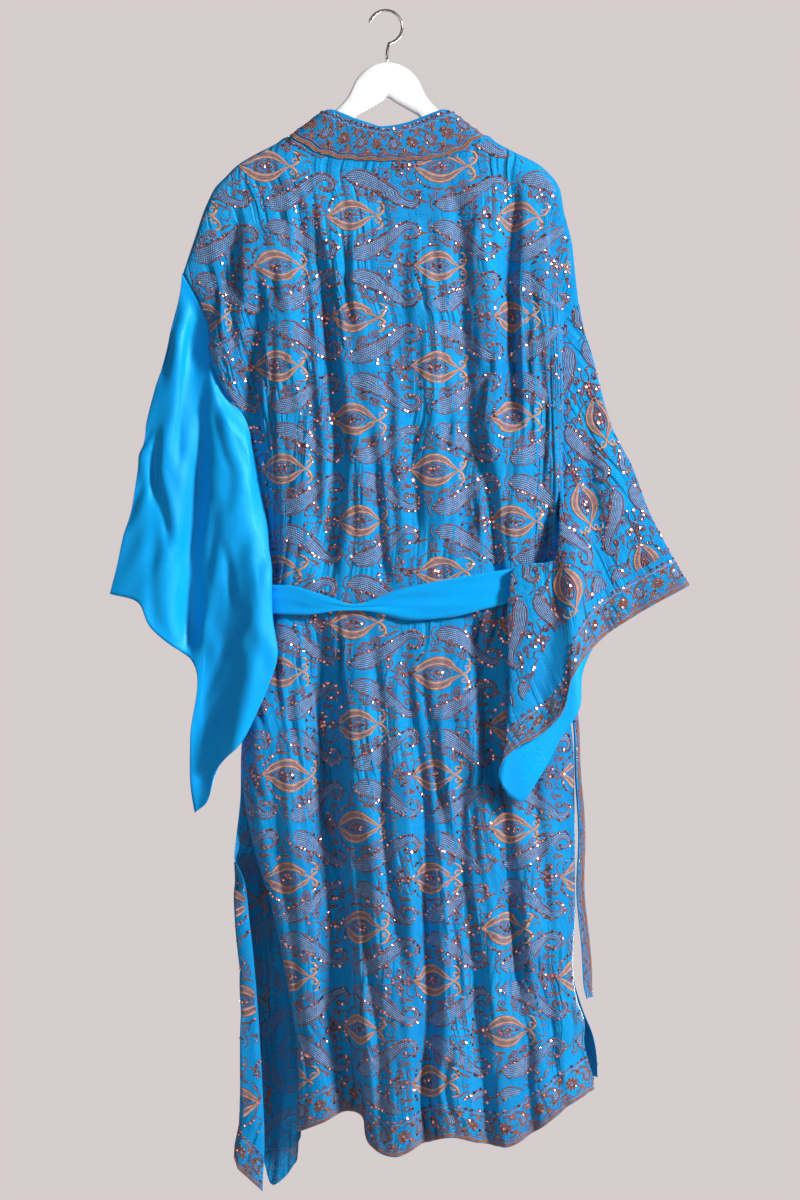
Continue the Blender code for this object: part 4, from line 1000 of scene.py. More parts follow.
class SeenMap:
    """The map of a sleeve half, looked at square on: flat places are (x, z) turned about a point."""

    def __init__(self, piece, edge, border):
        mesh = piece.data
        points = [tuple(vertex.co) for vertex in mesh.vertices]
        self.tree = BVHTree.FromPolygons(points, [tuple(face.vertices) for face in mesh.polygons])
        self.edge = edge
        self.border = border

    def at(self, flat):
        """The hung places, normals and presence of an array of (x, z) places."""
        place = np.zeros((len(flat), 3))
        normal = np.tile([0.0, -1.0, 0.0], (len(flat), 1))
        whole = np.zeros(len(flat), dtype=bool)
        ahead = Vector((0.0, 1.0, 0.0))
        for index, (x, z) in enumerate(flat):
            hit, facing, _, _ = self.tree.ray_cast(Vector((x, -0.5, z)), ahead)
            if hit is not None:
                place[index] = hit
                normal[index] = facing if facing.y < 0 else -facing
                whole[index] = True
        near = np.full(len(flat), 9.0)
        for x, z in self.edge:
            near = np.minimum(near, np.hypot(flat[:, 0] - x, flat[:, 1] - z))
        return place, normal, whole & (near > self.border)


class Spray:
    """Flat stitch work: strips of thread, each with its colour and its lift, and places for sequins."""

    def __init__(self):
        self.points = []
        self.lifts = []
        self.faces = []
        self.threads = []
        self.local = []
        self.sequins = []
        self.count = 0

    def strip(self, line, width, thread, across=3, lift=0.45, step=2.4):
        """A raised strip of thread along a rounded line; sizes are in millimetres."""
        line = np.array(line, dtype=float)
        length = np.linalg.norm(np.diff(line, axis=0), axis=1).sum()
        count = max(4, int(length / (1.25 * step)) + 1)
        share = np.linspace(0.0, 1.0, count)
        middle = curve(line, share)
        ahead = unit(np.gradient(middle, axis=0))
        side = np.stack([-ahead[:, 1], ahead[:, 0]], axis=-1)
        widths = np.atleast_1d(np.array(width, dtype=float))
        half = np.interp(share, np.linspace(0.0, 1.0, len(widths)), widths) / 2
        over = np.linspace(-1.0, 1.0, across)
        points = middle[:, None] + side[:, None] * half[:, None, None] * over[None, :, None]
        raised = lift * np.sqrt(np.clip(1.04 - over ** 2, 0.0, 1.0))
        rows, columns = np.meshgrid(np.arange(count - 1), np.arange(across - 1), indexing="ij")
        first = self.count + rows * across + columns
        quads = np.stack([first, first + across, first + across + 1, first + 1], axis=-1).reshape(-1, 4)
        self.points.append(points.reshape(-1, 2))
        self.lifts.append(np.tile(raised, count))
        self.faces.append(quads)
        self.threads.append(np.full(len(quads), thread))
        along = np.broadcast_to((share * length)[:, None], (count, across))
        self.local.append(np.stack([along, half[:, None] * over[None]], axis=-1).reshape(-1, 2))
        self.count += count * across

    def both(self, line, *rest, **more):
        """A strip and its mirror image about the motif's middle line."""
        self.strip(line, *rest, **more)
        self.strip([(x, -z) for x, z in line], *rest, **more)

    def scroll(self, x, z, radius, thread, turn=1.0, width=1.1, start=0.0):
        """A small spiral that curls in on itself, and its mirror image."""
        angles = start + turn * np.linspace(0.0, 1.55, 10) * 2 * math.pi
        radii = radius * np.linspace(1.0, 0.18, 10)
        self.both([(x + r * math.cos(a), z + r * math.sin(a)) for a, r in zip(angles, radii)],
                  [width * 0.8, width, width], thread, step=1.7)

    def spangles(self, line, gap):
        """Places for sequins along a line and along its mirror image."""
        line = np.array(line, dtype=float)
        length = np.linalg.norm(np.diff(line, axis=0), axis=1).sum()
        for x, z in curve(line, np.linspace(0.0, 1.0, max(2, int(length / gap)))):
            self.sequins.append((x, z))
            if abs(z) > 1.0:
                self.sequins.append((x, -z))

    def finish(self):
        """Join the strips; the points are then in metres."""
        self.points, self.lifts, self.local = [
            np.concatenate(values) * MILLIMETRE for values in (self.points, self.lifts, self.local)]
        self.faces = np.concatenate(self.faces)
        self.threads = np.concatenate(self.threads)
        self.sequins = np.array(self.sequins) * MILLIMETRE
        return self


def beside(line, widths, side):
    """A line set off to one side of another by half its width."""
    line = np.array(line, dtype=float)
    ahead = unit(np.gradient(line, axis=0))
    return line + np.stack([-ahead[:, 1], ahead[:, 0]], axis=-1) * np.array(widths)[:, None] * side


def onion_spray():
    """The lying onion bud with its petals, veins, brackets and leaves."""
    spray = Spray()
    wide = np.array([0.8, 4.6, 8.0, 9.4, 8.8, 7.2, 4.6, 0.8])
    spray.both(ONION_EDGE, wide, BLUSH, across=5, lift=0.4, step=3.0)
    for side in (1.0, -1.0):
        spray.both(beside(ONION_EDGE, wide * 0.40, side), [1.0, 2.5, 2.6, 2.2, 1.0], PETAL, lift=0.62)
        spray.both(beside(ONION_EDGE, wide * 0.58, side), 0.9, BROWN, lift=0.4)
    spray.both(ONION_INSIDE, 1.7, OUTLINE)
    for vein in ONION_VEINS:
        spray.both(vein, [1.0, 2.0, 1.0], OUTLINE)
    spray.strip([(-16, 0), (-4, 0.3), (8, -0.2), (16, 0)], [0.8, 2.8, 1.0], BROWN)
    spray.strip([(-52, 0.2), (-42, -0.4), (-33, 0)], [0.9, 1.8, 2.2], OUTLINE)
    spray.both([(-48, 0.6), (-45, 4.5), (-40, 5.0), (-38, 2.0)], [0.8, 1.9, 0.8], OUTLINE)
    spray.both([(-51, 0.8), (-55, 4.5), (-53, 9)], [0.8, 2.6, 0.8], BROWN)
    spray.both([(31, 0), (36, 1.6), (41, 6.2), (42.5, 12), (39, 17.5), (33.5, 19)],
               [1.2, 3.4, 4.4, 4.2, 3.0, 0.9], PETAL, across=4, lift=0.6)
    spray.both([(40.5, 9), (35.6, 10.4), (33, 7), (36.5, 5)], [2.2, 2.0, 0.9], PETAL)
    spray.both(CUP, [1.2, 1.9, 1.8, 1.2], OUTLINE, step=3.2)
    spray.both(CUP_LEAF, [0.6, 4.4, 0.6], BROWN)
    spray.both(SHORT_LEAF, [0.6, 3.4, 0.6], BROWN)
    spray.both([(-36, 4), (-42, 10), (-40, 18), (-33, 20), (-29, 15)], [1.1, 2.0, 1.8, 1.0], OUTLINE)
    spray.scroll(27, 24.5, 6.4, OUTLINE, start=2.4, width=1.8)
    spray.scroll(-9, 37, 6.2, OUTLINE, turn=-1.0, start=0.6, width=1.8)
    spray.scroll(9, 37, 5.4, OUTLINE, start=0.2, width=1.7)
    spray.both([(24, 31), (33, 33), (41, 29), (46, 22)], [0.9, 1.8, 1.6, 0.9], OUTLINE)
    spray.both([(-31, 38), (-24, 43), (-14, 45)], [0.7, 3.6, 0.7], BROWN)
    spray.both([(48, 3), (53, 7.5), (59, 6), (58, 1.5)], [0.9, 2.2, 0.9], OUTLINE)
    spray.spangles([(-8, 1.8), (-2, 3.4), (4, 3.2)], 3.2)
    spray.spangles([(-6, 0), (0, 0), (6, 0), (11, 0)], 3.6)
    spray.spangles(CUP, 4.4)
    spray.spangles([(-46, 2.5), (-40, 3.0), (-36, 1.0)], 3.4)
    spray.spangles([(43, 9), (42, 15)], 4.5)
    spray.spangles([(22, 28), (27, 31), (32, 28)], 3.6)
    return spray.finish()


def pair_spray():
    """Two long paisleys that open like a mouth, with scrolls and a stem between them."""
    spray = Spray()
    half = np.array(PAISLEY_HALF)
    spray.both(PAISLEY_SPINE, half * 2, PAISLEY, across=6, lift=0.35, step=4.2)
    for side in (1.0, -1.0):
        spray.both(beside(PAISLEY_SPINE, half, side), [1.7, 2.1, 2.0, 1.8, 1.4], OUTLINE, lift=0.55, step=3.2)
    spray.both([(-7, 5.4), (-10.8, 10), (-10.8, 19), (-7, 24)], 1.9, OUTLINE, lift=0.55)
    spray.both([(77, 36), (72.5, 39), (69, 36.6), (71, 32.6), (77, 32.6)], [1.4, 3.4, 1.4], BROWN)
    spray.both(PAIR_STEM, [1.3, 2.0, 1.7], OUTLINE, step=3.4)
    spray.both(PAIR_SPRIG, [1.8, 1.7, 1.1], OUTLINE, step=3.2)
    spray.both(PAIR_LEAF, [0.7, 4.2, 0.7], BROWN)
    spray.scroll(46, 13.5, 6.6, OUTLINE, start=-1.2, width=1.8)
    spray.scroll(63, 11.5, 6.2, OUTLINE, turn=-1.0, start=1.2, width=1.8)
    spray.scroll(68, 25, 5.0, OUTLINE, start=3.2, width=1.7)
    spray.scroll(16, 35.5, 5.6, OUTLINE, turn=-1.0, start=-0.6, width=1.8)
    spray.scroll(31, 43, 5.6, OUTLINE, start=0.6, width=1.7)
    spray.both([(2, 31), (8, 35), (12, 41)], [0.7, 3.4, 0.7], BROWN)
    spray.both([(40, 47), (50, 53), (60, 56)], [0.7, 3.6, 0.7], BROWN)
    spray.both([(54, 3), (58, 7), (63, 5.5), (62, 2)], [0.9, 3.0, 0.9], BROWN)
    spray.strip([(84, 0), (92, 0)], [1.0, 4.0, 1.0], BROWN)
    spray.spangles(beside(PAISLEY_SPINE, half, 1.0), 4.6)
    spray.spangles([(46, 18), (51, 14), (47, 9)], 3.4)
    spray.spangles([(63, 7), (67, 11), (63, 15)], 3.6)
    spray.spangles([(54, 1.5), (60, 2.5), (66, 1.5)], 3.8)
    spray.spangles([(73, 38), (77, 34)], 3.4)
    spray.spangles([(33, 6), (36, 15), (44, 21)], 4.2)
    return spray.finish()


def border_spray(height, repeat=56.0):
    """One length of the border: a chained top line, an oval boteh, a flower, sprigs and scrolls."""
    spray = Spray()
    top = height - 3.0
    wave = [(x, top + 1.1 * math.sin(x * 2 * math.pi / 14.0)) for x in np.linspace(0, repeat, 17)]
    spray.strip(wave, 1.5, OUTLINE)
    spray.strip([(x, z - 3.0) for x, z in wave], 1.1, PAISLEY)
    foot = [(x, 3.0 + 0.9 * math.sin(x * 2 * math.pi / 28.0)) for x in np.linspace(0, repeat, 13)]
    spray.strip(foot, [4.6, 3.4, 5.0, 3.6, 4.6], COPPER, across=4)
    spray.strip([(x, z + 4.4) for x, z in foot], 1.5, OUTLINE)
    scale = height / 50.0
    oval = [(8.0, 31), (7.5, 25), (9.5, 19.5), (14, 17.5), (18.5, 20.5), (20, 26),
            (18, 31.5), (14.5, 35.5), (10, 37)]
    oval = [(x, 2 + (z - 2) * scale) for x, z in oval]
    heart = [(13.5, 2 + 32 * scale), (14, 2 + 26 * scale), (14, 2 + 18.5 * scale)]
    spray.strip(heart, [3.0, 9.0, 9.5, 4.0], PAISLEY, across=6)
    spray.strip(oval, 3.2, BROWN, lift=0.6)
    spray.strip(
        [(12, 2 + 30 * scale), (14.5, 2 + 26 * scale), (13, 2 + 22 * scale)], [0.8, 2.6, 0.8], OUTLINE)
    for step in range(9):
        angle = math.radians(-150 + 300 * step / 8) - math.pi / 2
        x, z = 13.8 + 9.6 * math.cos(angle), 2 + (25 + 12.5 * math.sin(angle)) * scale
        spray.strip(
            [(x, z), (13.8 + (x - 13.8) * 1.34, 26 * scale + (z - 26 * scale) * 1.28)], [3.8, 1.2], BROWN)
    for step in range(8):
        angle = math.radians(45 * step + 12)
        x, z = math.cos(angle), math.sin(angle) * scale
        spray.strip([(41 + 2.4 * x, 26 * scale + 2.4 * z), (41 + 9.0 * x, 26 * scale + 9.5 * z)],
                    [1.4, 5.2, 1.6], BROWN, lift=0.55)
    spray.strip([(39.5, 26 * scale), (42.5, 26 * scale)], [2.6, 2.6], PETAL)
    for x, z, lean in ((27, 14, 1), (27, 38, -1), (54, 15, -1), (54, 37, 1)):
        z = z * scale
        spray.strip([(x - 5, z - 5 * lean), (x, z), (x + 5, z + 5 * lean)], [0.9, 5.2, 0.9], COPPER)
        spray.strip([(x - 5, z + 5 * lean), (x, z), (x + 5, z - 5 * lean)], [0.9, 4.2, 0.9], BROWN)
    for x, z, radius, turn in ((3.5, 38, 3.2, 1), (23, 27, 3.4, -1), (32, 41, 3.0, 1), (50, 26, 3.0, -1),
                               (3.5, 12, 3.2, -1), (20, 10.5, 3.0, 1), (34, 12, 3.2, -1), (46, 40, 2.8, 1),
                               (47, 11, 2.8, 1), (20, 41, 2.8, -1)):
        angles = turn * np.linspace(0.0, 1.4, 9) * 2 * math.pi
        radii = radius * np.linspace(1.0, 0.2, 9)
        spray.strip([(x + r * math.cos(a), z * scale + r * math.sin(a)) for a, r in zip(angles, radii)],
                    1.6, OUTLINE, step=2.0)
    for x in np.arange(3.0, repeat, 9.0):
        spray.sequins.append((x, top + 1.4))
    for x, z in ((41, 26), (38, 31), (44, 21), (14, 33), (27, 14), (27, 38), (54, 37), (8, 20), (50, 18)):
        spray.sequins.append((x, z * scale))
    return spray.finish()


class StitchWork:
    """All the stitches and sequins of one piece of cloth."""

    def __init__(self, seed, thickness):
        self.random = np.random.default_rng(seed)
        self.face = thickness / 2
        self.points = []
        self.faces = []
        self.threads = []
        self.grain = []
        self.sequins = []
        self.count = 0

    def add(self, fabric, spray, spots, sequin_share=0.6, wobble=0.0012, loose=1.0):
        """Work a spray at each (across, up, angle, size) spot."""
        for across, up, angle, size in spots:
            lean = angle + self.random.normal(0.0, 0.022) * loose
            grow = size * (1.0 + self.random.normal(0.0, 0.025) * loose)
            move = self.random.normal(0.0, wobble, 2)
            turn = np.array([[math.cos(lean), math.sin(lean)], [-math.sin(lean), math.cos(lean)]]) * grow
            flat = spray.points @ turn + np.array([across, up]) + move
            place, normal, whole = fabric.at(flat)
            kept = whole[spray.faces].all(axis=1)
            if kept.any():
                used = np.unique(spray.faces[kept])
                number = np.full(len(flat), -1)
                number[used] = np.arange(len(used)) + self.count
                lift = (spray.lifts[used] + self.face + 0.00006)[:, None]
                self.points.append(place[used] + normal[used] * lift)
                self.faces.append(number[spray.faces[kept]])
                self.threads.append(spray.threads[kept])
                self.grain.append(np.concatenate([spray.local[used], np.zeros((len(used), 1))], axis=1))
                self.count += len(used)
            chosen = spray.sequins[self.random.random(len(spray.sequins)) < sequin_share]
            if len(chosen):
                chosen = chosen @ turn + np.array([across, up]) + move
                place, normal, whole = fabric.at(chosen + self.random.normal(0.0, 0.0005, chosen.shape))
                self.sequins.extend(zip(place[whole], normal[whole]))

    def stitch_piece(self, name, finishes):
        """Make the stitches as one piece; the finishes are in the threads' order."""
        return mesh_piece(
            name, np.concatenate(self.points), np.concatenate(self.faces).tolist(),
            [material(key) for key in finishes], slots=np.concatenate(self.threads),
            grain=np.concatenate(self.grain))

    def pieces(self, name):
        """Make the stitches and the sequins as two pieces."""
        return [self.stitch_piece(name + "_embroidery", THREADS), self.sequin_piece(name + "_sequins")]

    def sequin_piece(self, name):
        """Cupped round sequins, each tilted a little its own way."""
        place = np.array([item[0] for item in self.sequins])
        normal = np.array([item[1] for item in self.sequins])
        count, sides = len(place), SEQUIN_SIDES
        normal = unit(normal + self.random.normal(0.0, 0.20, normal.shape))
        first = unit(np.cross(normal, np.array([0.0, 0.0, 1.0]) + self.random.normal(0.0, 0.3, (count, 3))))
        second = np.cross(normal, first)
        radius = SETTINGS["threads"].sequin_radius
        size = (radius * self.random.uniform(0.85, 1.15, count))[:, None]
        angles = np.arange(sides) * 2 * math.pi / sides
        middle = place + normal * (self.face + 0.0007)
        rim = (middle[:, None] + (first[:, None] * np.cos(angles)[None, :, None]
                                  + second[:, None] * np.sin(angles)[None, :, None]) * size[:, None]
               + normal[:, None] * 0.00025)
        points = np.concatenate([middle[:, None], rim], axis=1).reshape(-1, 3)
        start = np.arange(count)[:, None] * (sides + 1)
        side = np.arange(sides)[None]
        faces = np.stack([np.broadcast_to(start, (count, sides)), start + 1 + side,
                          start + 1 + (side + 1) % sides], axis=-1).reshape(-1, 3)
        return mesh_piece(name, points, faces.tolist(), [material("sequin")], smooth_faces=False)


# What each cut of cloth measures flat, in metres, its area where it isn't a rectangle, how it's held
# and what it rests on.
Cut = namedtuple("Cut", "width length area held rests_on")


def colour(rgb, lighter=1.0):
    """A linear colour with full cover."""
    return (*[min(value * lighter, 1.0) for value in rgb], 1.0)


class Nodes:
    """Small steps for laying out a shader's or a group's nodes."""

    def __init__(self, tree):
        self.tree = tree
        self.place = 0

    def new(self, kind, settings):
        """A node in the next free place, set up by name."""
        node = self.tree.nodes.new(kind)
        node.location = (self.place * 40 - 1200, 300 - (self.place % 6) * 190)
        self.place += 1
        for name, value in settings.items():
            setattr(node, name, value)
        return node

    def add(self, kind, settings=None, **inputs):
        """Add a node, set it up, and plug in or set its inputs by name."""
        node = self.new(kind, settings or {})
        for name, value in inputs.items():
            self.plug(node, name.replace("_", " "), value)
        return node

    def plug(self, node, key, value):
        """Link a socket to a named or numbered input, or set the input."""
        socket = node.inputs[key]
        if isinstance(value, bpy.types.NodeSocket):
            self.tree.links.new(value, socket)
        else:
            socket.default_value = value

    def maths(self, operation, *values):
        """One step of arithmetic."""
        node = self.new("ShaderNodeMath", {"operation": operation})
        for index, value in enumerate(values):
            self.plug(node, index, value)
        return node.outputs[0]

    def spread(self, value, *limits):
        """Map a value with soft ends; the limits are low and high, then what they become."""
        node = self.add("ShaderNodeMapRange", {"interpolation_type": "SMOOTHSTEP"}, Value=value)
        for index, limit in enumerate(limits, 1):
            node.inputs[index].default_value = limit
        return node.outputs[0]

    def blend(self, share, first, second):
        """Mix two colours."""
        node = self.new("ShaderNodeMix", {"data_type": "RGBA"})
        for index, value in ((0, share), (6, first), (7, second)):
            self.plug(node, index, value)
        return node.outputs[2]

    def stretched_noise(self, place, size, detail=2.0, rough=0.5):
        """Noise that is drawn out along the cloth, by its scale in each direction."""
        turned = self.add("ShaderNodeMapping", Vector=place, Scale=size)
        noise = self.add("ShaderNodeTexNoise", Vector=turned.outputs[0], Scale=1.0, Detail=detail,
                         Roughness=rough)
        return noise.outputs["Fac"]


def new_group(name, inputs, outputs):
    """A shader group with named number and vector sockets; it returns the group and its nodes."""
    group = bpy.data.node_groups.new(name, "ShaderNodeTree")
    for label, kind, value in inputs:
        socket = group.interface.new_socket(label, in_out="INPUT", socket_type=kind)
        if value is not None:
            socket.default_value = value
    for label, kind in outputs:
        group.interface.new_socket(label, in_out="OUTPUT", socket_type=kind)
    nodes = Nodes(group)
    start = group.nodes.new("NodeGroupInput")
    end = group.nodes.new("NodeGroupOutput")
    return group, nodes, start, end


def weave_group():
    """Fine warp and weft, with slubs where a thread is thicker."""
    if "Silk Weave" in bpy.data.node_groups:
        return bpy.data.node_groups["Silk Weave"]
    group, nodes, start, end = new_group(
        "Silk Weave",
        [("Grain", "NodeSocketVector", None), ("Slub", "NodeSocketFloat", 1.0)],
        [("Height", "NodeSocketFloat"), ("Tone", "NodeSocketFloat")])
    grain = start.outputs["Grain"]
    split = nodes.add("ShaderNodeSeparateXYZ", Vector=grain)
    warp = nodes.maths("SINE", nodes.maths("MULTIPLY", split.outputs[0], 2 * math.pi / 0.00062))
    weft = nodes.maths("SINE", nodes.maths("MULTIPLY", split.outputs[1], 2 * math.pi / 0.00062))
    fine = nodes.maths("MULTIPLY", nodes.maths("MULTIPLY", warp, weft), 0.10)
    across = nodes.stretched_noise(grain, (26.0, 900.0, 1.0), 3.0, 0.6)
    down = nodes.stretched_noise(grain, (800.0, 22.0, 1.0), 3.0, 0.6)
    slub = nodes.maths(
        "ADD", nodes.spread(across, 0.48, 0.72, 0.0, 1.0), nodes.spread(down, 0.5, 0.74, 0.0, 0.7))
    slub = nodes.maths("MULTIPLY", slub, start.outputs["Slub"])
    height = nodes.maths("ADD", fine, nodes.maths("MULTIPLY", slub, 0.6))
    nodes.plug(end, "Height", height)
    # The Tone of random clouds and slubs also mixes the silk's lit and shaded copies of the dye, which paints
    # light and shade in random patches.
    cloud = nodes.stretched_noise(grain, (9.0, 5.0, 1.0), 4.0, 0.55)
    tone = nodes.maths("ADD", nodes.spread(cloud, 0.35, 0.68, 0.0, 0.75), nodes.maths("MULTIPLY", slub, 0.25))
    nodes.plug(end, "Tone", tone)
    return group


def pucker_group():
    """Fine upright puckers where the stitches draw the ground cloth together: their height, and a Shadow mask
    of their narrow lines for painted shade.
    """
    if "Stitch Puckers" in bpy.data.node_groups:
        return bpy.data.node_groups["Stitch Puckers"]
    group, nodes, start, end = new_group(
        "Stitch Puckers",
        [("Grain", "NodeSocketVector", None), ("Strength", "NodeSocketFloat", 1.0)],
        [("Height", "NodeSocketFloat"), ("Shadow", "NodeSocketFloat")])
    grain = start.outputs["Grain"]
    lines = nodes.stretched_noise(grain, (105.0, 6.5, 1.0), 1.0, 0.4)
    patch_mask = nodes.spread(nodes.stretched_noise(grain, (12.0, 5.0, 1.0), 1.5, 0.5), 0.42, 0.62, 0.10, 1.0)
    dips = nodes.maths("MULTIPLY", nodes.spread(lines, 0.34, 0.56, 1.0, 0.0), patch_mask)
    dips = nodes.maths("MULTIPLY", dips, start.outputs["Strength"])
    nodes.plug(end, "Height", nodes.maths("MULTIPLY", dips, -1.0))
    # The narrow lines make the Shadow mask: painted shade in the pucker lines.
    narrow = nodes.maths("MULTIPLY", nodes.spread(lines, 0.30, 0.43, 1.0, 0.0), patch_mask)
    nodes.plug(end, "Shadow", nodes.maths("MULTIPLY", narrow, start.outputs["Strength"]))
    return group


def chain_group():
    """Rows of chain stitches along a worked shape, row beside row."""
    if "Chain Stitches" in bpy.data.node_groups:
        return bpy.data.node_groups["Chain Stitches"]
    group, nodes, start, end = new_group(
        "Chain Stitches",
        [("Place", "NodeSocketVector", None), ("Row", "NodeSocketFloat", 0.002),
         ("Link", "NodeSocketFloat", 0.0026)],
        [("Height", "NodeSocketFloat"), ("Thread", "NodeSocketFloat")])
    split = nodes.add("ShaderNodeSeparateXYZ", Vector=start.outputs["Place"])
    turns = nodes.maths("DIVIDE", split.outputs[1], start.outputs["Row"])
    rows = nodes.maths("COSINE", nodes.maths("MULTIPLY", turns, 2 * math.pi))
    stagger = nodes.maths("MULTIPLY", nodes.maths("ROUND", turns), 0.5)
    links = nodes.maths("ADD", nodes.maths("DIVIDE", split.outputs[0], start.outputs["Link"]), stagger)
    chain = nodes.maths("COSINE", nodes.maths("MULTIPLY", links, 2 * math.pi))
    height = nodes.maths("ADD", nodes.maths("MULTIPLY", rows, 0.6), nodes.maths("MULTIPLY", chain, 0.4))
    nodes.plug(end, "Height", height)
    nodes.plug(end, "Thread", nodes.spread(height, -0.55, 0.35, 0.0, 1.0))
    return group


def place_group(nodes, group, **inputs):
    """Put a shared group into a material."""
    node = nodes.add("ShaderNodeGroup", {"node_tree": group})
    for name, value in inputs.items():
        nodes.plug(node, name, value)
    return node


def start_material(name, on_cloth=True):
    """A new material with its nodes helper, its shader, and the cloth's or the piece's own coordinates."""
    made = bpy.data.materials.new(name)
    made.use_nodes = True
    nodes = Nodes(made.node_tree)
    shader = made.node_tree.nodes["Principled BSDF"]
    if on_cloth:
        where = nodes.add("ShaderNodeAttribute", {"attribute_name": "grain"}).outputs["Vector"]
    else:
        where = nodes.add("ShaderNodeTexCoord").outputs["Object"]
    return made, nodes, shader, where


def silk_material(name, lit, shaded, puckers, slub, roughness, sheen, height):
    """Dyed silk: a woven, slubbed face that may be puckered by stitches. Its colour mixes a lit and a shaded
    copy of the dye at random, which is painted light and shade, and its pucker lines are darkened as painted
    shade.
    """
    made, nodes, shader, grain = start_material(name)
    weave = place_group(nodes, weave_group(), Grain=grain, Slub=slub)
    # Painted light and shade: the weave's random Tone mixes the shaded and the lit copy of the dye.
    base = nodes.blend(nodes.maths("MULTIPLY", weave.outputs["Tone"], 0.8), colour(shaded), colour(lit))
    heights = nodes.maths("MULTIPLY", weave.outputs["Height"], 0.35)
    if puckers:
        drawn = place_group(nodes, pucker_group(), Grain=grain, Strength=puckers)
        # Painted shade: the pucker lines darken the colour towards a near-black copy of the shaded dye.
        dark = nodes.maths("MULTIPLY", drawn.outputs["Shadow"], 0.80)
        base = nodes.blend(dark, base, colour(shaded, 0.12))
        heights = nodes.maths("ADD", heights, nodes.maths("MULTIPLY", drawn.outputs["Height"], 1.6))
    bump = nodes.add("ShaderNodeBump", Strength=1.0, Distance=height, Height=heights)
    nodes.plug(shader, "Base Color", base)
    rough = nodes.spread(weave.outputs["Tone"], 0.0, 1.0, roughness + 0.07, roughness - 0.05)
    nodes.plug(shader, "Roughness", rough)
    nodes.plug(shader, "Normal", bump.outputs[0])
    shader.inputs["Sheen Weight"].default_value = sheen
    shader.inputs["Sheen Roughness"].default_value = 0.35
    shader.inputs["Sheen Tint"].default_value = colour((0.35, 0.75, 1.0))
    shader.inputs["Specular IOR Level"].default_value = 0.6
    shader.inputs["Specular Tint"].default_value = colour((0.20, 0.72, 1.0))
    return made


def thread_material(name, thread, gap, row, link, roughness, sheen=0.2):
    """Chain or satin stitches in one colour of thread, with the dark between the rows: partly the cloth seen
    there and partly painted shade in the grooves.
    """
    made, nodes, shader, grain = start_material(name)
    chain = place_group(nodes, chain_group(), Place=grain, Row=row, Link=link)
    uneven = nodes.stretched_noise(grain, (140.0, 140.0, 1.0), 2.0, 0.5)
    tinted = nodes.blend(
        nodes.spread(uneven, 0.35, 0.65, 0.0, 1.0), colour(thread, 0.78), colour(thread, 1.18))
    # The gap colour between the rows is painted shade in the grooves, over the cloth seen there.
    base = nodes.blend(chain.outputs["Thread"], colour(gap), tinted)
    bump = nodes.add("ShaderNodeBump", Strength=0.8, Distance=0.0007, Height=chain.outputs["Height"])
    nodes.plug(shader, "Base Color", base)
    rough = nodes.spread(chain.outputs["Thread"], 0.0, 1.0, roughness + 0.15, roughness)
    nodes.plug(shader, "Roughness", rough)
    nodes.plug(shader, "Normal", bump.outputs[0])
    shader.inputs["Sheen Weight"].default_value = sheen
    shader.inputs["Specular IOR Level"].default_value = 0.5
    return made


def hard_material(name, marks, reach, tones, dulls, dulling, metal=0.0, scuff_depth=0.0):
    """A hard finish: two tones mixed by one noise, and its gloss dulled by that noise or a second one."""
    made, nodes, shader, where = start_material(name, False)
    mark = nodes.stretched_noise(where, *marks)
    dull = nodes.stretched_noise(where, *dulls) if dulls else mark
    nodes.plug(shader, "Base Color", nodes.blend(nodes.spread(mark, *reach, 0.0, 1.0), *tones))
    nodes.plug(shader, "Roughness", nodes.spread(dull, *dulling))
    if scuff_depth:
        bump = nodes.add("ShaderNodeBump", Strength=0.25, Distance=scuff_depth, Height=dull)
        nodes.plug(shader, "Normal", bump.outputs[0])
    shader.inputs["Metallic"].default_value = metal
    return made


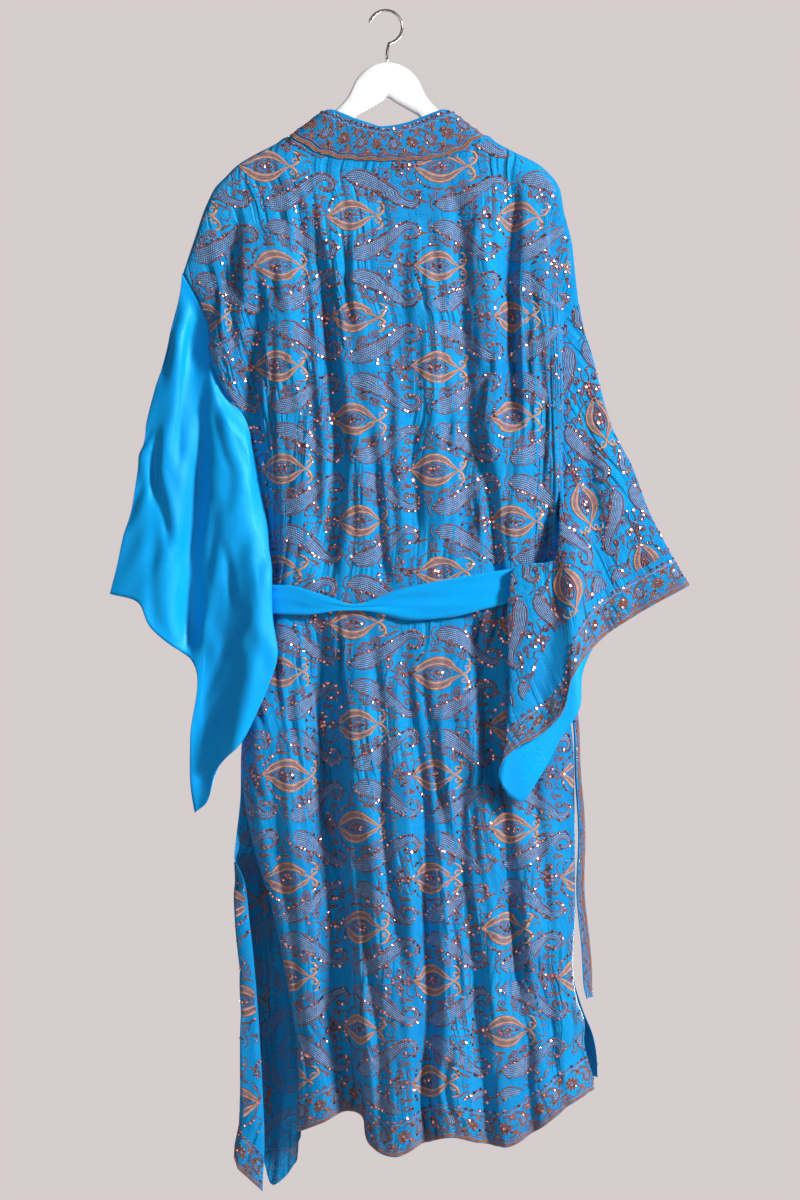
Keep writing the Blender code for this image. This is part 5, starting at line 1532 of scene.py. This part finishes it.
def material(key):
    """The named finish, made once."""
    if key in MATERIALS:
        return MATERIALS[key]
    dyes, threads = SETTINGS["dyes"], SETTINGS["threads"]
    copper, white = SETTINGS["sequins"].copper, SETTINGS["hanger"].plastic
    wire, pale = SETTINGS["hanger"].wire, SETTINGS["stage"].backdrop
    finishes = {
        # Silks: lit and shaded copies of the dye (painted light and shade, mixed at random), puckers (their
        # bump and their painted shade), slubs, roughness, sheen and height of the weave.
        "ground": (
            silk_material, "puckered cerulean silk", dyes.ground_lit, dyes.ground_shaded,
            1.0, 0.8, 0.38, 0.20, 0.0022),
        "satin": (
            silk_material, "plain azure satin", dyes.satin_lit, dyes.satin_shaded,
            0.0, 1.0, 0.34, 0.25, 0.0005),
        "band": (
            silk_material, "stitched border silk", dyes.band, dyes.ground_shaded,
            0.5, 0.8, 0.45, 0.25, 0.0008),
        # Threads: their dye, the dark between rows (painted shade in the grooves, over the cloth seen there),
        # the row's and the link's length, and roughness.
        "paisley": (
            thread_material, "lavender chain stitch", threads.lavender, (0.0, 0.06, 0.20),
            0.0024, 0.003, 0.52),
        "outline": (
            thread_material, "maroon outline stitch", threads.maroon, (0.03, 0.02, 0.06),
            0.0016, 0.0024, 0.55),
        "petal": (
            thread_material, "tan satin stitch", threads.tan, (0.16, 0.07, 0.04), 0.0052, 0.0011, 0.42),
        "copper": (
            thread_material, "copper lurex thread", threads.copper, (0.10, 0.03, 0.02), 0.0016, 0.0016, 0.34),
        "blush": (
            thread_material, "blush petal filling", threads.blush, (0.10, 0.10, 0.16), 0.0019, 0.0015, 0.46),
        "brown": (
            thread_material, "brown leaf stitch", threads.brown, (0.06, 0.02, 0.02), 0.0018, 0.0018, 0.50),
        "faded": (
            thread_material, "back of the stitches", threads.reverse, dyes.ground_shaded,
            0.0018, 0.003, 0.60),
        # Hard finishes: marks and their reach, two tones, dull spots and their reach, metal, scuffs.
        "sequin": (
            hard_material, "rose copper sequin", ((90.0, 90.0, 90.0), 1.0, 0.4), (0.35, 0.65),
            (colour(copper, 0.75), colour(copper, 1.25)), None, (0.3, 0.7, 0.16, 0.30), 1.0),
        "plastic": (
            hard_material, "white hanger plastic", ((6.0, 6.0, 30.0), 2.0, 0.5), (0.35, 0.65),
            (colour(white, 0.95), colour(white, 1.02)), ((420.0, 60.0, 900.0), 3.0, 0.6),
            (0.5, 0.75, 0.26, 0.42), 0.0, 0.0002),
        "wire": (
            hard_material, "plated hook wire", ((160.0, 160.0, 160.0), 3.0, 0.6), (0.45, 0.7),
            (colour(wire), colour((0.36, 0.35, 0.34))), ((900.0, 900.0, 60.0), 2.0, 0.5),
            (0.4, 0.7, 0.10, 0.24), 1.0),
        "floor": (
            hard_material, "pale studio floor", ((3.0, 3.0, 3.0), 3.0, 0.5), (0.3, 0.7),
            (colour(pale, 0.985), colour(pale, 1.015)), None, (0.3, 0.7, 0.88, 0.95)),
    }
    maker, *values = finishes[key]
    MATERIALS[key] = maker(*values)
    return MATERIALS[key]


MATERIALS = {}


GRIDS = {}
STITCHES = {}


def gathered(grid, towards, size, seed, pitch=0.03):
    """Draw cloth into narrow upright creases, as the stitching pulls it, fading out at its edges."""
    random = np.random.default_rng(seed)
    grain = grain_of(grid)
    u, v = grain[..., 0], grain[..., 1]
    total = np.zeros(u.shape)
    for _ in range(4):
        wave = pitch * random.uniform(0.9, 1.7)
        a, b, c, d, e = random.uniform(0.0, 2 * math.pi, 5)
        warp = (0.012 * np.sin(v * random.uniform(5, 9) + a) + 0.005 * np.sin(v * random.uniform(14, 24) + b)
                + 0.004 * np.sin(v * 31.0 + u * 20.0 + c))
        patch_share = 0.5 + 1.1 * np.sin(v * random.uniform(5, 9) + d + u * 6.0) * np.sin(
            u * random.uniform(9, 16) + e)
        line = np.abs(np.sin(math.pi * (u + warp) / wave))
        total += smooth(patch_share) * np.exp(-(line * wave / math.pi / 0.0042) ** 2)
    fade = smooth(np.minimum(u - u.min(axis=1, keepdims=True), u.max(axis=1, keepdims=True) - u) / 0.022)
    fade = fade * smooth((v - 0.012) / 0.05)
    facing = facing_of(grid, towards)
    return grid - outward(grid, facing) * (size * np.minimum(total, 1.4) * fade)[..., None]


# Creases of the plain satin: middle x and z, degrees from upright, length, width and depth.
Crease = namedtuple("Crease", "x z lean length width depth")
SATIN_CREASES = table(
    Crease,
    (-0.302, -0.59, 4, 0.12, 0.006, 0.005), (-0.318, -0.56, 38, 0.06, 0.006, 0.003),
    (-0.292, -0.64, -12, 0.14, 0.007, 0.0045), (-0.33, -0.64, 24, 0.09, 0.008, 0.003),
    (-0.262, -0.5, 6, 0.26, 0.009, 0.007), (-0.216, -0.56, -16, 0.11, 0.008, 0.0035),
    (-0.228, -0.7, 8, 0.16, 0.007, 0.003), (-0.205, -0.73, -8, 0.1, 0.006, 0.0024),
    (-0.25, -0.8, 14, 0.12, 0.008, 0.0036), (-0.204, -0.62, 10, 0.09, 0.009, 0.0024),
    (-0.285, -0.43, 10, 0.13, 0.008, 0.0036), (-0.222, -0.86, 22, 0.11, 0.007, 0.003),
    (-0.268, -0.93, 6, 0.08, 0.006, 0.003), (-0.19, -0.8, 26, 0.07, 0.006, 0.0022))


def soft_creases(grid, creases):
    """Press short, soft, uneven creases into a closed sleeve, on both of its layers."""
    facing = facing_of(grid, None, True)
    normal = outward(grid, facing, True)
    x, z = grid[..., 0], grid[..., 2]
    depth = np.zeros(x.shape)
    for crease in creases:
        lean = math.radians(crease.lean)
        along = (x - crease.x) * math.sin(lean) + (z - crease.z) * math.cos(lean)
        aside = (x - crease.x) * math.cos(lean) - (z - crease.z) * math.sin(lean)
        aside = aside + 0.10 * crease.length * (along / crease.length) ** 2 * math.cos(280.0 * crease.x)
        run = smooth(1.6 * np.clip(1.0 - np.abs(along) / (0.5 * crease.length), 0.0, 1.0))
        bank = np.exp(-((aside - 1.7 * crease.width) / crease.width) ** 2)
        depth += crease.depth * run * (np.exp(-(aside / crease.width) ** 2) - 0.45 * bank)
    uneven = 0.0009 * np.sin(x * 170.0 + 3.0 * np.sin(z * 31.0)) * np.sin(z * 23.0 + 2.0)
    ends = smooth(np.arange(grid.shape[0]) / 6.0)[:, None]
    return grid - normal * ((depth + uneven) * ends)[..., None]


def tuck_under(grid, size):
    """Add a seam allowance to a sleeve's armhole edge, a little inside the body's own edge."""
    step = grid[0] - grid[2]
    ahead = step / np.maximum(np.linalg.norm(step, axis=-1, keepdims=True), 1e-9)
    sewn = smooth((grid[0, :, 2] + 0.66) / 0.05)[:, None]
    allowance = grid[0] + ahead * size * sewn
    allowance[:, 1] -= np.sign(allowance[:, 1]) * 0.0006 * sewn[:, 0]
    return np.concatenate([allowance[None], grid])


def dress(node, grid, towards, finish, closed=False, thickness=None, edge_round=False, facing=None):
    """Replace one cut piece's solid with thin cloth."""
    facing = facing or facing_of(grid, towards, closed)
    thickness = thickness or SETTINGS["cloth"].silk_thickness
    piece = cloth_shell(node + "_cloth", grid, facing, material(finish), thickness, closed, edge_round)
    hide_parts(node)
    GRIDS[node] = (grid, facing, piece)


def lattice(first, reach_across, levels):
    """Half-drop spots for the onion and the pair between each row of them."""
    repeat = (SETTINGS["threads"].repeat_across, SETTINGS["threads"].repeat_down)
    onions, pairs = [], []
    count = int(reach_across / repeat[0]) + 1
    for column in range(-count, count + 1):
        for row in range(-2, int((levels[1] - levels[0]) / repeat[1]) + 3):
            across = first[0] + column * repeat[0]
            up = levels[0] + (first[1] - levels[0]) % repeat[1] + row * repeat[1]
            up += (column % 2) * repeat[1] / 2
            onions.append((across, up, 0.0, 1.0))
            pairs.append((across, up - repeat[1] / 2, 0.0, 1.0))
    return onions, pairs


def sleeve_lattice(start, angle, repeat, columns, rows, size):
    """Half-drop spots on the sleeve, where the cloth is turned on its side."""
    onions, pairs = [], []
    ahead = np.array([math.cos(angle), math.sin(angle)])
    side = np.array([-math.sin(angle), math.cos(angle)])
    for column in range(*columns):
        for row in range(*rows):
            shift = (column % 2) * 0.5
            spot = np.array(start) + ahead * column * repeat[0] + side * (row + shift) * repeat[1]
            onions.append((spot[0], spot[1], angle, size))
            spot = spot - side * repeat[1] / 2
            pairs.append((spot[0], spot[1], angle, size))
    return onions, pairs


def run_border(fabric, spray, length, work, sequin_share=0.8):
    """Work a border spray end to end along an edge."""
    spots = [(step * BORDER_REPEAT, 0.0, 0.0, 1.0) for step in range(-1, int(length / BORDER_REPEAT) + 2)]
    work.add(fabric, STITCHES[spray], spots, sequin_share, wobble=0.0, loose=0.0)


def length_of(grid_row):
    """The length of a line of points."""
    return float(np.linalg.norm(np.diff(grid_row, axis=0), axis=1).sum())


def work_field(work, field, onions, pairs, *shares):
    """Work the onions and the pairs of paisleys over a field of cloth."""
    work.add(field, STITCHES["onion"], onions, *shares)
    work.add(field, STITCHES["pair"], pairs, *shares)


def work_panel(node, seed, middle_x, first):
    """Embroider a body panel: the field of sprays and the border along its hem."""
    grid, facing, _ = GRIDS[node]
    work = StitchWork(seed, SETTINGS["cloth"].silk_thickness)
    work_field(work, hung_map(grid, facing, middle_x, HEM_BORDER), *lattice(first, 0.45, (-1.50, -0.16)))
    run_border(edge_map(grid, facing, HEM_BORDER + 0.004), "hem", length_of(grid[-1]), work)
    return work.pieces(node)


def work_reverse():
    """The backs of the left front's stitches, where the slit opens on its inner side."""
    grid, facing, _ = GRIDS["front_left_panel"]
    work = StitchWork(17, SETTINGS["cloth"].silk_thickness)
    inside = hung_map(grid[grid.shape[0] // 3:], -facing, -0.11, 0.0)
    inside.whole &= (inside.place[..., 0] < -0.07) & (inside.normal[..., 1] < 0.1)
    work_field(work, inside, *lattice((0.02, -0.96), 0.30, (-1.50, -0.72)), 0.0)
    return work.stitch_piece("front_left_panel_reverse", FADED_THREADS)


class RobeCloth(bpy.types.PropertyGroup):
    """Sizes of the cloth."""

    silk_thickness: bpy.props.FloatProperty(
        name="Silk thickness", description="Thickness of one layer of silk", default=0.0007,
        min=0.0002, max=0.0016, unit="LENGTH")
    band_thickness: bpy.props.FloatProperty(
        name="Collar thickness", description="Thickness of the doubled collar band", default=0.0024,
        min=0.001, max=0.004, unit="LENGTH")
    sash_thickness: bpy.props.FloatProperty(
        name="Sash thickness", description="Thickness of the folded sash", default=0.0016,
        min=0.0008, max=0.003, unit="LENGTH")
    gathers: bpy.props.FloatProperty(
        name="Gathers", description="Depth of the small creases that the stitching draws", default=0.0026,
        min=0.0, max=0.006, unit="LENGTH")
    across: bpy.props.IntProperty(
        name="Points across", description="Points across the back of the robe", default=136, min=60, max=200)
    down: bpy.props.IntProperty(
        name="Points down", description="Points from the shoulder to the hem", default=240, min=120, max=320)


class RobeDyes(bpy.types.PropertyGroup):
    """Colours of the silk."""

    # ground_lit and ground_shaded are one dye in light and in shade: painted light and shade, mixed at random
    # on the silk; the shaded one is also darkened near black in the pucker lines and lies between the faded
    # threads' rows.
    ground_lit: bpy.props.FloatVectorProperty(
        name="Ground", description="Cerulean silk in the light", default=(0.001, 0.39, 0.86),
        subtype="COLOR", min=0.0, max=1.0)
    ground_shaded: bpy.props.FloatVectorProperty(
        name="Ground, deeper", description="Cerulean silk in painted shade",
        default=(0.001, 0.24, 0.6), subtype="COLOR", min=0.0, max=1.0)
    # satin_lit and satin_shaded are one dye in light and in shade: painted light and shade, mixed at random
    # on the satin.
    satin_lit: bpy.props.FloatVectorProperty(
        name="Satin", description="Plain azure satin in the light", default=(0.001, 0.4, 0.9),
        subtype="COLOR", min=0.0, max=1.0)
    satin_shaded: bpy.props.FloatVectorProperty(
        name="Satin, deeper", description="Plain azure satin in painted shade",
        default=(0.001, 0.31, 0.78), subtype="COLOR", min=0.0, max=1.0)
    band: bpy.props.FloatVectorProperty(
        name="Border ground", description="Silk between the stitches of the collar",
        default=(0.004, 0.15, 0.34), subtype="COLOR", min=0.0, max=1.0)


class RobeThreads(bpy.types.PropertyGroup):
    """Colours and sizes of the stitching."""

    lavender: bpy.props.FloatVectorProperty(
        name="Paisley thread", description="Lavender chain stitch", default=(0.165, 0.285, 0.5),
        subtype="COLOR", min=0.0, max=1.0)
    maroon: bpy.props.FloatVectorProperty(
        name="Outline thread", description="Maroon outlines and scrolls", default=(0.29, 0.1, 0.125),
        subtype="COLOR", min=0.0, max=1.0)
    tan: bpy.props.FloatVectorProperty(
        name="Petal thread", description="Tan petals of the onions", default=(0.64, 0.32, 0.2),
        subtype="COLOR", min=0.0, max=1.0)
    copper: bpy.props.FloatVectorProperty(
        name="Copper thread", description="Copper lines inside the petals", default=(0.42, 0.16, 0.09),
        subtype="COLOR", min=0.0, max=1.0)
    brown: bpy.props.FloatVectorProperty(
        name="Leaf thread", description="Brown leaves and flowers", default=(0.3, 0.105, 0.07),
        subtype="COLOR", min=0.0, max=1.0)
    blush: bpy.props.FloatVectorProperty(
        name="Petal filling", description="Dull rose between the petals' edges", default=(0.38, 0.2, 0.19),
        subtype="COLOR", min=0.0, max=1.0)
    reverse: bpy.props.FloatVectorProperty(
        name="Reverse of the stitches", description="Stitches seen from inside the robe",
        default=(0.09, 0.13, 0.28), subtype="COLOR", min=0.0, max=1.0)
    repeat_across: bpy.props.FloatProperty(
        name="Repeat across", description="From one column of onions to the next, on flat cloth",
        default=REPEAT[0], min=0.09, max=0.16, unit="LENGTH")
    repeat_down: bpy.props.FloatProperty(
        name="Repeat down", description="From one onion to the next below it", default=REPEAT[1],
        min=0.10, max=0.18, unit="LENGTH")
    sequin_radius: bpy.props.FloatProperty(
        name="Sequin radius", description="Radius of one sequin", default=0.0019, min=0.0008, max=0.003,
        unit="LENGTH")


class RobeSequins(bpy.types.PropertyGroup):
    """Colour of the sequins."""

    copper: bpy.props.FloatVectorProperty(
        name="Sequins", description="Rose-copper foil", default=(0.76, 0.3, 0.25),
        subtype="COLOR", min=0.0, max=1.0)


class RobeHanger(bpy.types.PropertyGroup):
    """Colours of the hanger."""

    plastic: bpy.props.FloatVectorProperty(
        name="Plastic", description="White moulded plastic", default=(0.86, 0.88, 0.90),
        subtype="COLOR", min=0.0, max=1.0)
    wire: bpy.props.FloatVectorProperty(
        name="Wire", description="Bright plated wire", default=(0.72, 0.73, 0.75),
        subtype="COLOR", min=0.0, max=1.0)


class RobeStage(bpy.types.PropertyGroup):
    """The setting round the robe."""

    backdrop: bpy.props.FloatVectorProperty(
        name="Backdrop", description="Pale warm grey of the setting", default=(0.672, 0.61, 0.61),
        subtype="COLOR", min=0.0, max=1.0)
    distance: bpy.props.FloatProperty(
        name="Camera distance", description="From the lens to the robe", default=4.6, min=2.0, max=8.0,
        unit="LENGTH")


GROUPS = {"cloth": RobeCloth, "dyes": RobeDyes, "threads": RobeThreads, "sequins": RobeSequins,
          "hanger": RobeHanger, "stage": RobeStage}


class ROBE_OT_camera(bpy.types.Operator):
    """Put the camera square to the robe's back"""

    bl_idname = "robe.camera"
    bl_label = "Camera"

    def execute(self, context):
        data = bpy.data.cameras.new("robe_camera")
        camera = bpy.data.objects.new("robe_camera", data)
        context.scene.collection.objects.link(camera)
        distance = SETTINGS["stage"].distance
        data.sensor_width = SENSOR_WIDTH
        data.lens = SENSOR_WIDTH * distance / SEEN_HEIGHT
        camera.location = (SEEN_MIDDLE[0], -distance, SEEN_MIDDLE[1])
        camera.rotation_euler = (math.radians(90.0), 0.0, 0.0)
        context.scene.camera = camera
        return {"FINISHED"}


class ROBE_OT_hanger(bpy.types.Operator):
    """Finish the flat hanger and its wire hook"""

    bl_idname = "robe.hanger"
    bl_label = "Hanger and hook"

    def execute(self, context):
        rings = refine(np.array(hanger_rings()), 170, None)
        piece = ring_piece("moulded_hanger", rings, material("plastic"))
        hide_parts("hanger")
        piece = ring_piece("wire_hook", np.array(hook_rings()), material("wire"))
        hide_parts("hanger_hook")
        return {"FINISHED"}


class ROBE_OT_body(bpy.types.Operator):
    """Hang the back panel and the two fronts"""

    bl_idname = "robe.body"
    bl_label = "Body panels"

    def execute(self, context):
        cloth = SETTINGS["cloth"]
        for node, grid, towards, seed in (
                ("back_panel", back_grid(cloth.across, cloth.down), (0, -1, 0), 31),
                ("front_left_panel", front_grid(-1, int(cloth.across * 0.56), cloth.down), (0, 1, 0), 32),
                ("front_right_panel", front_grid(1, int(cloth.across * 0.54), cloth.down), (0, 1, 0), 33)):
            grid = gathered(hold_back(grid, SHOULDER_LAP), towards, cloth.gathers, seed)
            dress(node, grid, towards, "ground")
        return {"FINISHED"}


class ROBE_OT_sleeves(bpy.types.Operator):
    """Hang the plain left sleeve and the two halves of the right one"""

    bl_idname = "robe.sleeves"
    bl_label = "Sleeves"

    def execute(self, context):
        loop = left_sleeve_loop(60, 92)
        x, z = loop[..., 0], loop[..., 2]
        lap = smooth((-0.49 - z) / 0.06) * smooth((z + 0.80) / 0.10) * smooth((x + 0.222) / 0.035)
        loop[..., 0] += 0.0078 * lap
        loop = tuck_under(soft_creases(loop, SATIN_CREASES), 0.003)
        dress("left_sleeve", loop, None, "satin", closed=True)
        around = np.linspace(0.0, 1.0, 72)
        along = np.linspace(0.0, 1.0, 64) ** 1.2
        half = tuck_under(sleeve_layer(1, -1, RIGHT_CUFF_BACK, around, along), 0.0036)
        dress("right_sleeve_back", half, (0, -1, 0), "ground")
        half = tuck_under(sleeve_layer(1, 1, RIGHT_CUFF_FRONT, around, along), 0.0036)
        dress("right_sleeve_front", half, (0, 1, 0), "satin")
        return {"FINISHED"}


class ROBE_OT_collar(bpy.types.Operator):
    """Sew the doubled collar band on"""

    bl_idname = "robe.collar"
    bl_label = "Collar band"

    def execute(self, context):
        grid = hold_back(refine(collar_grid(), 11, 430), -0.003)
        facing = 1.0 if outward(grid, 1.0)[:, 40].mean(axis=0)[1] > 0 else -1.0
        dress("collar_band", grid, None, "band", thickness=SETTINGS["cloth"].band_thickness,
              edge_round=True, facing=facing)
        return {"FINISHED"}


class ROBE_OT_sash(bpy.types.Operator):
    """Tie the sash with its knot and two ends"""

    bl_idname = "robe.sash"
    bl_label = "Sash"

    def execute(self, context):
        grid = refine_closed(sash_grid(), 11)
        pleat_rows = np.linspace(0.0, 1.0, 11)[:, None]
        away = grid - grid.mean(axis=(0, 1))
        away[..., 2] = 0.0
        place = grid[0, :, 0][None]
        lift = 0.0016 * np.sin(pleat_rows * 9.5 + place * 21.0) + 0.0009 * np.sin(
            pleat_rows * 17.0 - place * 47.0)
        grid = grid + unit(away) * (lift + 0.0007)[..., None]
        middle = grid[..., 2].mean(axis=0)[None]
        pinch = 0.30 * np.exp(-((place + 0.034) / 0.03) ** 2) * (grid[..., 1] < grid[..., 1].mean())
        grid[..., 2] += (middle - grid[..., 2]) * pinch
        dress("sash", grid, None, "satin", closed=True,
              thickness=SETTINGS["cloth"].sash_thickness)
        seen, other = sash_ends()
        for node, rough, finish, slot in (("sash_end_right", seen, "band", "border_silk"),
                                          ("sash_end_left", other, "satin", "plain_satin")):
            fine = refine(rough, 130, 13)
            share = np.linspace(0.0, 1.0, 130)[:, None]
            over = np.linspace(-1.0, 1.0, 13)[None]
            wave = (0.0016 * np.sin(share * 31.0 + over * 1.7) + 0.0012 * np.sin(share * 13.0 - over * 4.1)
                    + 0.0009 * np.sin(over * 8.0 + share * 5.0)) * smooth(share / 0.12)
            fine[..., 1] += wave
            fine[..., 0] += 0.001 * np.sin(share * 24.0 + 1.0) * smooth(share / 0.15)
            dress(node, fine, (0, -1, 0), finish, thickness=SETTINGS["cloth"].sash_thickness)
        piece = knot_piece(np.array(knot_rings()))
        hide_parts("sash_knot")
        return {"FINISHED"}


class ROBE_OT_embroidery(bpy.types.Operator):
    """Work the onions, paisleys, borders and sequins onto the silk"""

    bl_idname = "robe.embroidery"
    bl_label = "Embroidery and sequins"

    def execute(self, context):
        STITCHES.update(
            onion=onion_spray(), pair=pair_spray(), hem=border_spray(46.0), band=border_spray(43.0))
        made = {
            "back_panel": work_panel("back_panel", 11, 0.004, FIRST_ONION),
            "front_left_panel": work_panel("front_left_panel", 12, -0.11, (0.02, -0.96)),
            "front_right_panel": work_panel("front_right_panel", 13, 0.12, (-0.01, -0.935)),
            "right_sleeve_back": work_sleeve(),
            "collar_band": work_collar(),
            "sash_end_right": work_end(),
        }
        made["front_left_panel"].append(work_reverse())
        return {"FINISHED"}


class ROBE_OT_stage(bpy.types.Operator):
    """Set up the floor, the lights and the pale surroundings"""

    bl_idname = "robe.stage"
    bl_label = "Stage"

    def execute(self, context):
        pale = SETTINGS["stage"].backdrop
        mesh = bpy.data.meshes.new("studio_floor")
        angles = np.linspace(0.0, 2 * math.pi, 97)[:-1]
        rim = [(FLOOR_RADIUS * math.cos(a), FLOOR_RADIUS * math.sin(a), FLOOR_LEVEL) for a in angles]
        mesh.from_pydata(
            [(0.0, 0.0, FLOOR_LEVEL)] + rim, [], [(0, i + 1, (i + 1) % 96 + 1) for i in range(96)])
        mesh.materials.append(material("floor"))
        floor = bpy.data.objects.new("studio_floor", mesh)
        context.scene.collection.objects.link(floor)
        for name, place, aim, size, power in (
                ("key_light", (3.3, -2.3, 1.2), (0.0, 0.0, -0.8), 0.8, 330.0),
                ("fill_light", (-2.4, -3.9, -1.0), (0.0, 0.0, -1.0), 2.0, 20.0),
                ("front_side_light", (1.2, 4.2, -0.9), (0.0, 0.0, -0.7), 1.8, 130.0)):
            data = bpy.data.lights.new(name, "AREA")
            data.shape = "DISK"
            data.size = size
            data.energy = power
            lamp = bpy.data.objects.new(name, data)
            lamp.location = place
            lamp.rotation_euler = (Vector(aim) - Vector(place)).to_track_quat("-Z", "Y").to_euler()
            context.scene.collection.objects.link(lamp)
        world = bpy.data.worlds.new("pale surroundings")
        context.scene.world = world
        world.use_nodes = True
        nodes = Nodes(world.node_tree)
        back = world.node_tree.nodes["Background"]
        back.inputs["Color"].default_value = colour(pale)
        seen = nodes.add("ShaderNodeLightPath").outputs["Is Camera Ray"]
        nodes.plug(back, "Strength", nodes.spread(seen, 0.0, 1.0, 0.27, 1.0))
        context.scene.view_settings.view_transform = "Standard"
        return {"FINISHED"}


def ring_piece(name, rings, finish):
    """A closed bar through rings of points, with smooth sides and crowned ends."""
    count, around = rings.shape[:2]
    points = np.concatenate([rings.reshape(-1, 3), rings[:1].mean(axis=1), rings[-1:].mean(axis=1)])
    row, side = np.meshgrid(np.arange(count - 1), np.arange(around), indexing="ij")
    after = (side + 1) % around
    faces = np.stack([row * around + side, row * around + after, (row + 1) * around + after,
                      (row + 1) * around + side], axis=-1).reshape(-1, 4).tolist()
    start, end = count * around, count * around + 1
    for side in range(around):
        after = (side + 1) % around
        faces.append([after, side, start])
        faces.append([(count - 1) * around + side, (count - 1) * around + after, end])
    return mesh_piece(name, points, faces, [finish])


def knot_piece(rings):
    """The soft knot with the creases of its wraps."""
    fine = refine_closed(rings, 46)
    middle = fine.mean(axis=1, keepdims=True)
    share = np.linspace(0.0, 1.0, 46)[:, None]
    turn = np.linspace(0.0, 2 * math.pi, fine.shape[1], endpoint=False)[None]
    wraps = 0.045 * np.sin(share * 22.0 + 1.3 * np.sin(turn)) + 0.03 * np.sin(share * 11.0 - turn * 2.0)
    fine = middle + (fine - middle) * (1.0 + wraps * np.sin(math.pi * share) - 0.03)[..., None]
    piece = ring_piece("tied_knot", fine, material("satin"))
    layer = piece.data.attributes.new("grain", "FLOAT_VECTOR", "POINT")
    grain = np.concatenate([grain_of(fine).reshape(-1, 3), np.zeros((2, 3))])
    layer.data.foreach_set("vector", grain.astype(np.float32).ravel())
    return piece


def work_collar():
    """Embroider the collar band from its sewn edge to its free one."""
    grid, facing, _ = GRIDS["collar_band"]
    work = StitchWork(15, SETTINGS["cloth"].band_thickness)
    run_border(edge_map(grid[::-1], -facing, 0.0455, True), "band", length_of(grid[0]), work, 0.9)
    return work.pieces("collar_band")


def work_end():
    """Embroider the seen sash end, which is cut from the border."""
    grid = GRIDS["sash_end_right"][0]
    work = StitchWork(16, SETTINGS["cloth"].sash_thickness)
    turned = np.swapaxes(grid, 0, 1)
    fabric = edge_map(turned, facing_of(turned, (0, -1, 0)), 0.036)
    run_border(fabric, "band", length_of(grid[:, 0]), work)
    return work.pieces("sash_end_right")


def work_sleeve():
    """Embroider the right sleeve's back half: sprays turned on their side, and the cuff's border."""
    grid, facing, piece = GRIDS["right_sleeve_back"]
    work = StitchWork(14, SETTINGS["cloth"].silk_thickness)
    cuff = [(point[0], point[2]) for point in grid[-1][::2]]
    spots = sleeve_lattice((0.255, -0.64), math.radians(-72), (0.098, 0.108), (-4, 5), (-3, 4), 0.86)
    work_field(work, SeenMap(piece, cuff, CUFF_BORDER + 0.001), *spots)
    run_border(edge_map(grid, facing, CUFF_BORDER), "band", length_of(grid[-1]), work)
    return work.pieces("right_sleeve_back")


class ROBE_PT_panel(bpy.types.Panel):
    """The robe's sizes, colours and pieces"""

    bl_idname = "ROBE_PT_panel"
    bl_label = "Embroidered Silk Robe"
    bl_space_type = "VIEW_3D"
    bl_region_type = "UI"
    bl_category = "Robe"

    def draw(self, context):
        for key, group in GROUPS.items():
            box = self.layout.box()
            box.label(text=group.__doc__)
            settings = getattr(context.scene, "robe_" + key)
            for name in group.__annotations__:
                box.prop(settings, name)
        for operator in OPERATORS:
            self.layout.operator(operator.bl_idname)


OPERATORS = (ROBE_OT_camera, ROBE_OT_hanger, ROBE_OT_body, ROBE_OT_sleeves, ROBE_OT_collar, ROBE_OT_sash,
             ROBE_OT_embroidery, ROBE_OT_stage)


def register():
    """Add the settings, the operators and the panel."""
    for key, group in GROUPS.items():
        bpy.utils.register_class(group)
        setattr(bpy.types.Scene, "robe_" + key, bpy.props.PointerProperty(type=group))
    for item in OPERATORS + (ROBE_PT_panel,):
        bpy.utils.register_class(item)


def unregister():
    """Take them away again."""
    for item in (ROBE_PT_panel,) + OPERATORS[::-1]:
        bpy.utils.unregister_class(item)
    for key, group in GROUPS.items():
        delattr(bpy.types.Scene, "robe_" + key)
        bpy.utils.unregister_class(group)


def main():
    """Dress the robe, piece by piece."""
    register()
    for key in GROUPS:
        SETTINGS[key] = getattr(bpy.context.scene, "robe_" + key)
    bpy.ops.robe.camera()
    bpy.ops.robe.hanger()
    bpy.ops.robe.body()
    bpy.ops.robe.sleeves()
    bpy.ops.robe.collar()
    bpy.ops.robe.sash()
    bpy.ops.robe.embroidery()
    bpy.ops.robe.stage()


if __name__ == "__main__":
    main()
